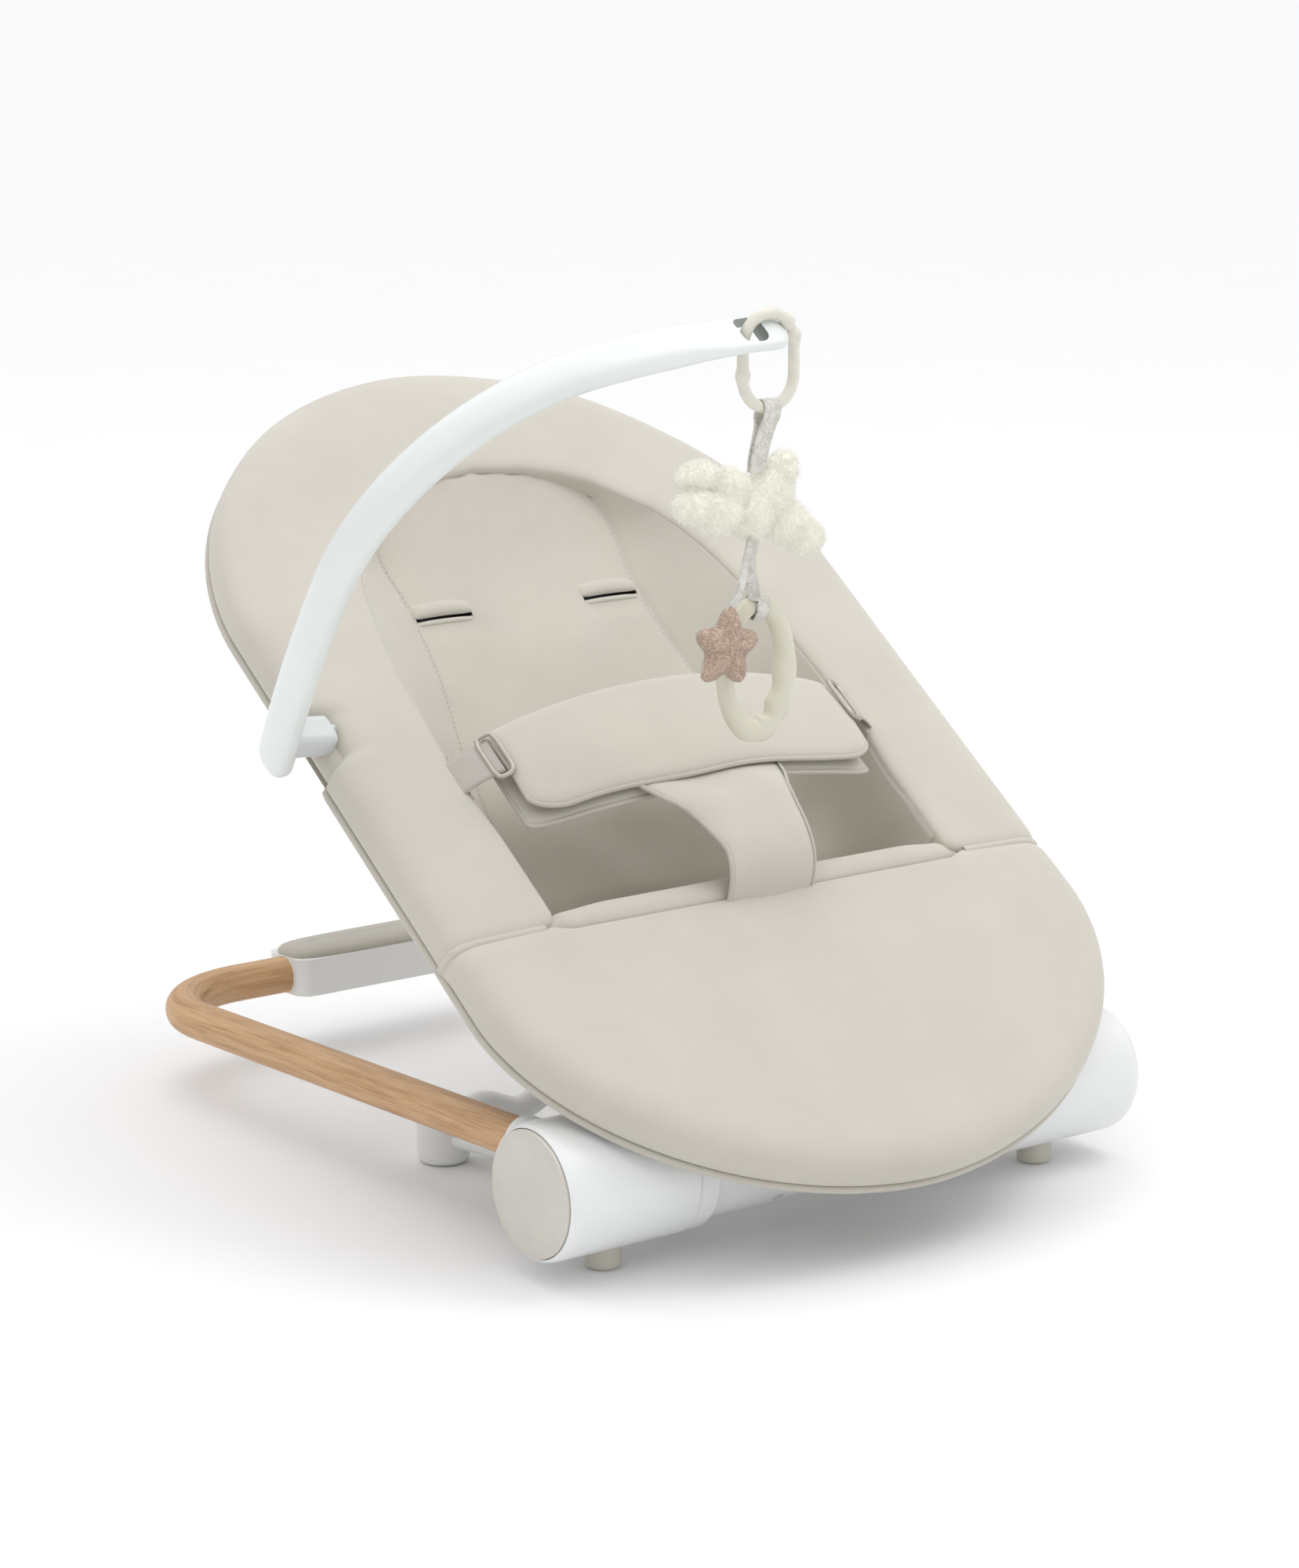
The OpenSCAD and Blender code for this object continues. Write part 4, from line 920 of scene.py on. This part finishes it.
def pile(name, points, normals, faces, count, length, width, mat, body, wave=0.5):
    """Short curved tufts standing on a surface, spread evenly over its faces."""
    tri = np.array([(f[0], f[k], f[k + 1]) for f in faces for k in range(1, len(f) - 1)])
    at = points[tri]
    size = np.linalg.norm(np.cross(at[:, 1] - at[:, 0], at[:, 2] - at[:, 0]), axis=1)
    pick = tri[rng.choice(len(tri), count, p=size / size.sum())]
    share = rng.dirichlet((1, 1, 1), count)
    base = (points[pick] * share[..., None]).sum(1)
    nrm = (normals[pick] * share[..., None]).sum(1)
    nrm /= np.linalg.norm(nrm, axis=1)[:, None]
    base = base - nrm * width
    nrm = nrm + rng.normal(0, wave, (count, 3)) + np.array([0, 0, -0.25])
    nrm /= np.linalg.norm(nrm, axis=1)[:, None]
    L = length * rng.uniform(0.55, 1.15, count)[:, None]
    side = np.cross(nrm, rng.normal(0, 1, (count, 3)))
    side /= np.linalg.norm(side, axis=1)[:, None]
    other = np.cross(nrm, side)
    bend = rng.normal(0, 0.35, (count, 1)) * side + np.array([0, 0, -0.18])
    w = width * rng.uniform(0.7, 1.3, count)[:, None]
    # A tuft is a three-sided spike: a ring at its foot, a ring half way up and a tip
    ring = [side, -side * 0.5 + other * 0.87, -side * 0.5 - other * 0.87]
    mid = base + nrm * L * 0.55 + bend * L * 0.2
    tip = base + nrm * L * 0.95 + bend * L * 0.6
    verts = [base + r * w for r in ring] + [mid + r * w * 0.8 for r in ring] + [tip]
    tufts = []
    for foot in range(0, 7 * count, 7):
        for k, m in ((0, 1), (1, 2), (2, 0)):
            tufts.append((foot + k, foot + m, foot + 3 + m, foot + 3 + k))
            tufts.append((foot + 3 + k, foot + 3 + m, foot + 6))
    return build(name, np.stack(verts, 1), tufts, mat, body)


pile("plush_pile", co, no, faces, 22000, 0.0046, 0.00022, M["plush"], "plush")

# Ribbons under the plush toy
SX, SY, SZ = STAR
RX, RY, RZ = TEETH
THIN = 0.9
ribbon = resample([(PLUSH_X - 4, SY + 4, PLUSH_LOW + 12), (PLUSH_X - 12, SY + 2, PLUSH_LOW - 7),
                   (SX + 12, SY, KNOT_Z)], count=16)
star_side = band("toy_ribbon_star", ribbon, 7.5, (0.3, -1, 0), M["ribbon"], "plush", "ribbon", THIN)
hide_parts("toy_ribbons")
ribbon = resample([(PLUSH_X + 1, RY - 6, PLUSH_LOW + 10), (PLUSH_X + 2, RY, PLUSH_LOW - 8),
                   (RX - 3, RY, KNOT_Z)], count=16)
band("toy_ribbon_teether", ribbon, 8.5, (-0.2, -1, 0), M["ribbon"], "plush", "ribbon", THIN)
ribbon = resample([(SX + 12, SY, KNOT_Z + 1), (SX + 3, SY + 1, SZ + 20)], count=8)
strip = band("star_ribbon_strip", ribbon, 7.5, (0.3, -1, 0), M["ribbon"], "star", "ribbon", THIN)
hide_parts("star_ribbon")
# Down from the knot, round the teether's top and back up behind it
ribbon = resample([(RX - 3, RY, KNOT_Z + 1), (RX - 2, RY - 2, KNOT_Z - 8), (RX + 1, RY - 7, RZ + 45),
                   (RX + 1, RY - 7.5, RZ + 38), (RX + 1, RY - 3, RZ + 31.5), (RX + 1, RY + 5, RZ + 33),
                   (RX + 1, RY + 8, RZ + 41), (RX + 1, RY + 3, KNOT_Z - 6)], count=40)
across = np.cross(frames_along(ribbon), (1, 0, 0))
loop_o = band("teether_ribbon_loop", ribbon, 10, across, M["ribbon"], "teether", "ribbon", THIN)
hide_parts("teether_ribbon")


# Star: a stuffed five-pointed cushion in short pile
STAR_TIP, STAR_WAIST, ARM = 31, 15, math.pi / 5


def star_half(height):
    """One side of the star, from its middle out to its edge; height is its fullness towards +Y."""
    a = np.linspace(0, 2 * math.pi, 100, endpoint=False)
    valley = 1 - (np.cos(5 * (a - math.pi / 2)) + 1) / 2
    off = np.abs((a - math.pi / 2 + ARM) % (2 * ARM) - ARM)
    edge = STAR_TIP * STAR_WAIST * math.sin(ARM) / (STAR_WAIST * np.sin(ARM - off) + STAR_TIP * np.sin(off))
    soft = np.exp(-(np.arange(-8, 9) / 3.2) ** 2)
    edge = sum(w * np.roll(edge, k - 8) for k, w in enumerate(soft / soft.sum()))
    out = np.sin(np.linspace(0, math.pi / 2, 22))[:, None]
    h = height * np.sqrt(np.clip(1 - out ** 2.4, 0, 1)) * (1 - 0.12 * valley * out)
    return edge * out * np.cos(a), h, edge * out * np.sin(a)


turn = math.radians(-8)
yaw = math.radians(4)
for word, height, key in (("front", -9.5, "star_fabric"), ("rear", 6.2, "star_back")):
    x, y, z = star_half(height)
    x, z = x * math.cos(turn) - z * math.sin(turn), x * math.sin(turn) + z * math.cos(turn)
    x, y = x * math.cos(yaw) - y * math.sin(yaw), x * math.sin(yaw) + y * math.cos(yaw)
    P = np.stack([SX + x, SY + y, SZ + z], -1) / 1000
    o = grid(f"star_{word}", P, M[key], "star", "star_fabric", wrap_v=True, flip=word == "rear")
    if word == "front":
        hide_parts("star")
    normals = np.zeros(len(o.data.vertices) * 3)
    o.data.vertex_normals.foreach_get("vector", normals)
    faces = [tuple(f.vertices) for f in o.data.polygons]
    pile(f"star_pile_{word}", P.reshape(-1, 3), normals.reshape(-1, 3), faces, 5200, 0.0014, 0.00024, M[key],
         "star", wave=0.4)

# Teether: an oval ring, thick and scalloped at its lower right
RING_W, RING_H = 24.0, 41.0
a = np.linspace(0, 2 * math.pi, 140, endpoint=False)


def around(at, width):
    """1 at the angle at, falling off over width."""
    return np.exp(-(np.angle(np.exp(1j * (a - at))) / width) ** 2)


fat = 5.5 + 2.6 * around(-0.35, 0.9) + 1.8 * around(-1.7, 0.7)
fat += 1.9 * around(-0.85, 0.75) * np.cos(10 * a + 0.6)
pinch = 1 - 0.1 * around(math.pi / 2, 0.5)
path = np.stack([RX + RING_W * np.cos(a) * pinch, RY + 0 * a, RZ + RING_H * np.sin(a)], -1) / 1000
teeth_o = tube("teether_ring", path, fat / 1000, M["silicone"], "teether", "silicone", closed=True, sides=24,
               up=np.stack([np.cos(a), 0 * a, np.sin(a) * 0.75], -1), aspect=6.0 / fat, power=2.3)
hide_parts("teether")

# ---- Wooden legs: grain follows the bend ----
LEG_R, LEG_X, BAR_Y, BEND_R = 13.35, 205.0, 522.0, 78.0
SLOPE, LEG_Z = math.radians(2.2), 77.0


def in_legs(x, y, z):
    """A place in the legs' own plane, which slopes down to the rear, in millimetres."""
    x, y, z = np.broadcast_arrays(np.asarray(x, float), y, z)
    c, s = math.cos(SLOPE), math.sin(SLOPE)
    return np.stack([x, y * c + z * s, LEG_Z - y * s + z * c], -1) / 1000


bend_x, bend_y = LEG_X - BEND_R, BAR_Y - BEND_R
b = np.linspace(0, math.pi / 2, 40)[1:]
leg_x = np.r_[np.full(60, LEG_X), bend_x + BEND_R * np.cos(b), np.linspace(bend_x, 88, 10)[1:]]
leg_y = np.r_[np.linspace(20, bend_y, 60), bend_y + BEND_R * np.sin(b), np.full(9, BAR_Y)]
for s, word in ((-1, "left"), (1, "right")):
    leg = tube(f"leg_wood_{word}", in_legs(s * leg_x, leg_y, 0), LEG_R / 1000, M["oak"], "base", "oak",
               sides=48)
    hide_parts(f"leg_{word}")

# ---- Pedal pad ----
rings = []
for inset, z in ((0.2, 0), (0, 1.2), (0.3, 2.6), (1.2, 4.0), (2.8, 5.3), (5.5, 6.5), (9, 7.4), (13, 8.0),
                 (18, 8.35), (23.4, 8.5)):
    ex, ey = rounded_box(np.linspace(0, 2 * math.pi, 96, endpoint=False), 86.5 - inset, 23.5 - inset, 4.5)
    rings.append(in_legs(ex, BAR_Y + ey, 13.5 + z))
pad = grid("pedal_pad_top", np.array(rings), M["pedal_fabric"], "base", "pedal_fabric", wrap_v=True)
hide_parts("pedal_pad")

# ---- Stand bar, smooth ----
sx = np.linspace(-140, 140, 120)
sz = 29.5 + 4.5 * np.cos(np.radians(6 * (np.abs(sx) - 110)))
stand = tube("stand_bar_smooth", np.stack([sx, 236 + 0 * sx, sz], -1) / 1000, 0.009, M["white_plastic"],
             "base", "white_plastic", sides=28)
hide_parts("stand_bar")

# ---- Frame loops, smooth ----
INSET, FRAME_N = 14.0, 56.0
side = HALF - INSET
for name, mid_t, r, a0, end_t in (("frame_lower", FOOT_T, FOOT_R, math.pi, 130),
                                  ("frame_upper", HEAD_T, HEAD_R, 0, 130.2)):
    a = np.linspace(a0, a0 + math.pi, 90)
    line = np.stack([side * np.cos(a), mid_t + (r - INSET) * np.sin(a)], -1)
    line = np.vstack([[(line[0, 0], end_t)], line, [(line[-1, 0], end_t)]])
    x, t = resample(line, count=140).T
    o = tube(name + "_tube", seat(x, t, FRAME_N), 0.0079, M["steel"], "seat", "steel", sides=20)
    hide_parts(name)

# ---- Floor, light and camera ----
fl = bpy.data.meshes.new("floor")
fl.from_pydata([(-90, -90, 0), (90, -90, 0), (90, 90, 0), (-90, 90, 0)], [], [(0, 1, 2, 3)])
floor = bpy.data.objects.new("floor", fl)
bpy.context.scene.collection.objects.link(floor)
plastic("floor_paint", (0.90, 0.90, 0.905), 0.8, vary=0.004)
fl.materials.append(M["floor_paint"])

world = bpy.data.worlds.new("studio")
bpy.context.scene.world = world
world.use_nodes = True
wt = world.node_tree
where, split = wt.nodes.new("ShaderNodeTexCoord"), wt.nodes.new("ShaderNodeSeparateXYZ")
dome = wt.nodes["Background"]
wt.links.new(where.outputs["Generated"], split.inputs[0])
wt.links.new(ramp(wt, split.outputs["Z"], [(0.0, (0.30, 0.305, 0.315)), (0.3, (0.52, 0.525, 0.535)),
                                           (1.0, (1.0, 1.0, 1.0))]), dome.inputs["Color"])
dome.inputs["Strength"].default_value = 1.38


def area(name, at, look, size, power):
    d = bpy.data.lights.new(name, "AREA")
    d.shape, d.size, d.energy = "DISK", size, power
    o = bpy.data.objects.new(name, d)
    o.location = at
    o.rotation_mode = "QUATERNION"
    o.rotation_quaternion = (Vector(look) - Vector(at)).to_track_quat("-Z", "Y")
    bpy.context.scene.collection.objects.link(o)


area("key", (1.3, -0.7, 2.6), (0, 0.2, 0.25), 1.4, 13)
area("top", (-0.3, 1.3, 3.0), (0, 0.2, 0.2), 2.4, 9)

cam = bpy.data.objects.new("camera", bpy.data.cameras.new("camera"))
cam.data.lens, cam.data.sensor_width, cam.data.sensor_fit = 98.4, 36.0, "AUTO"
cam.location = (-1.6645, -2.0568, 0.8975)
cam.rotation_mode = "QUATERNION"
cam.rotation_quaternion = (Vector((-0.0653, 0.1045, 0.2738)) - cam.location).to_track_quat("-Z", "Y")
bpy.context.scene.collection.objects.link(cam)
bpy.context.scene.camera = cam
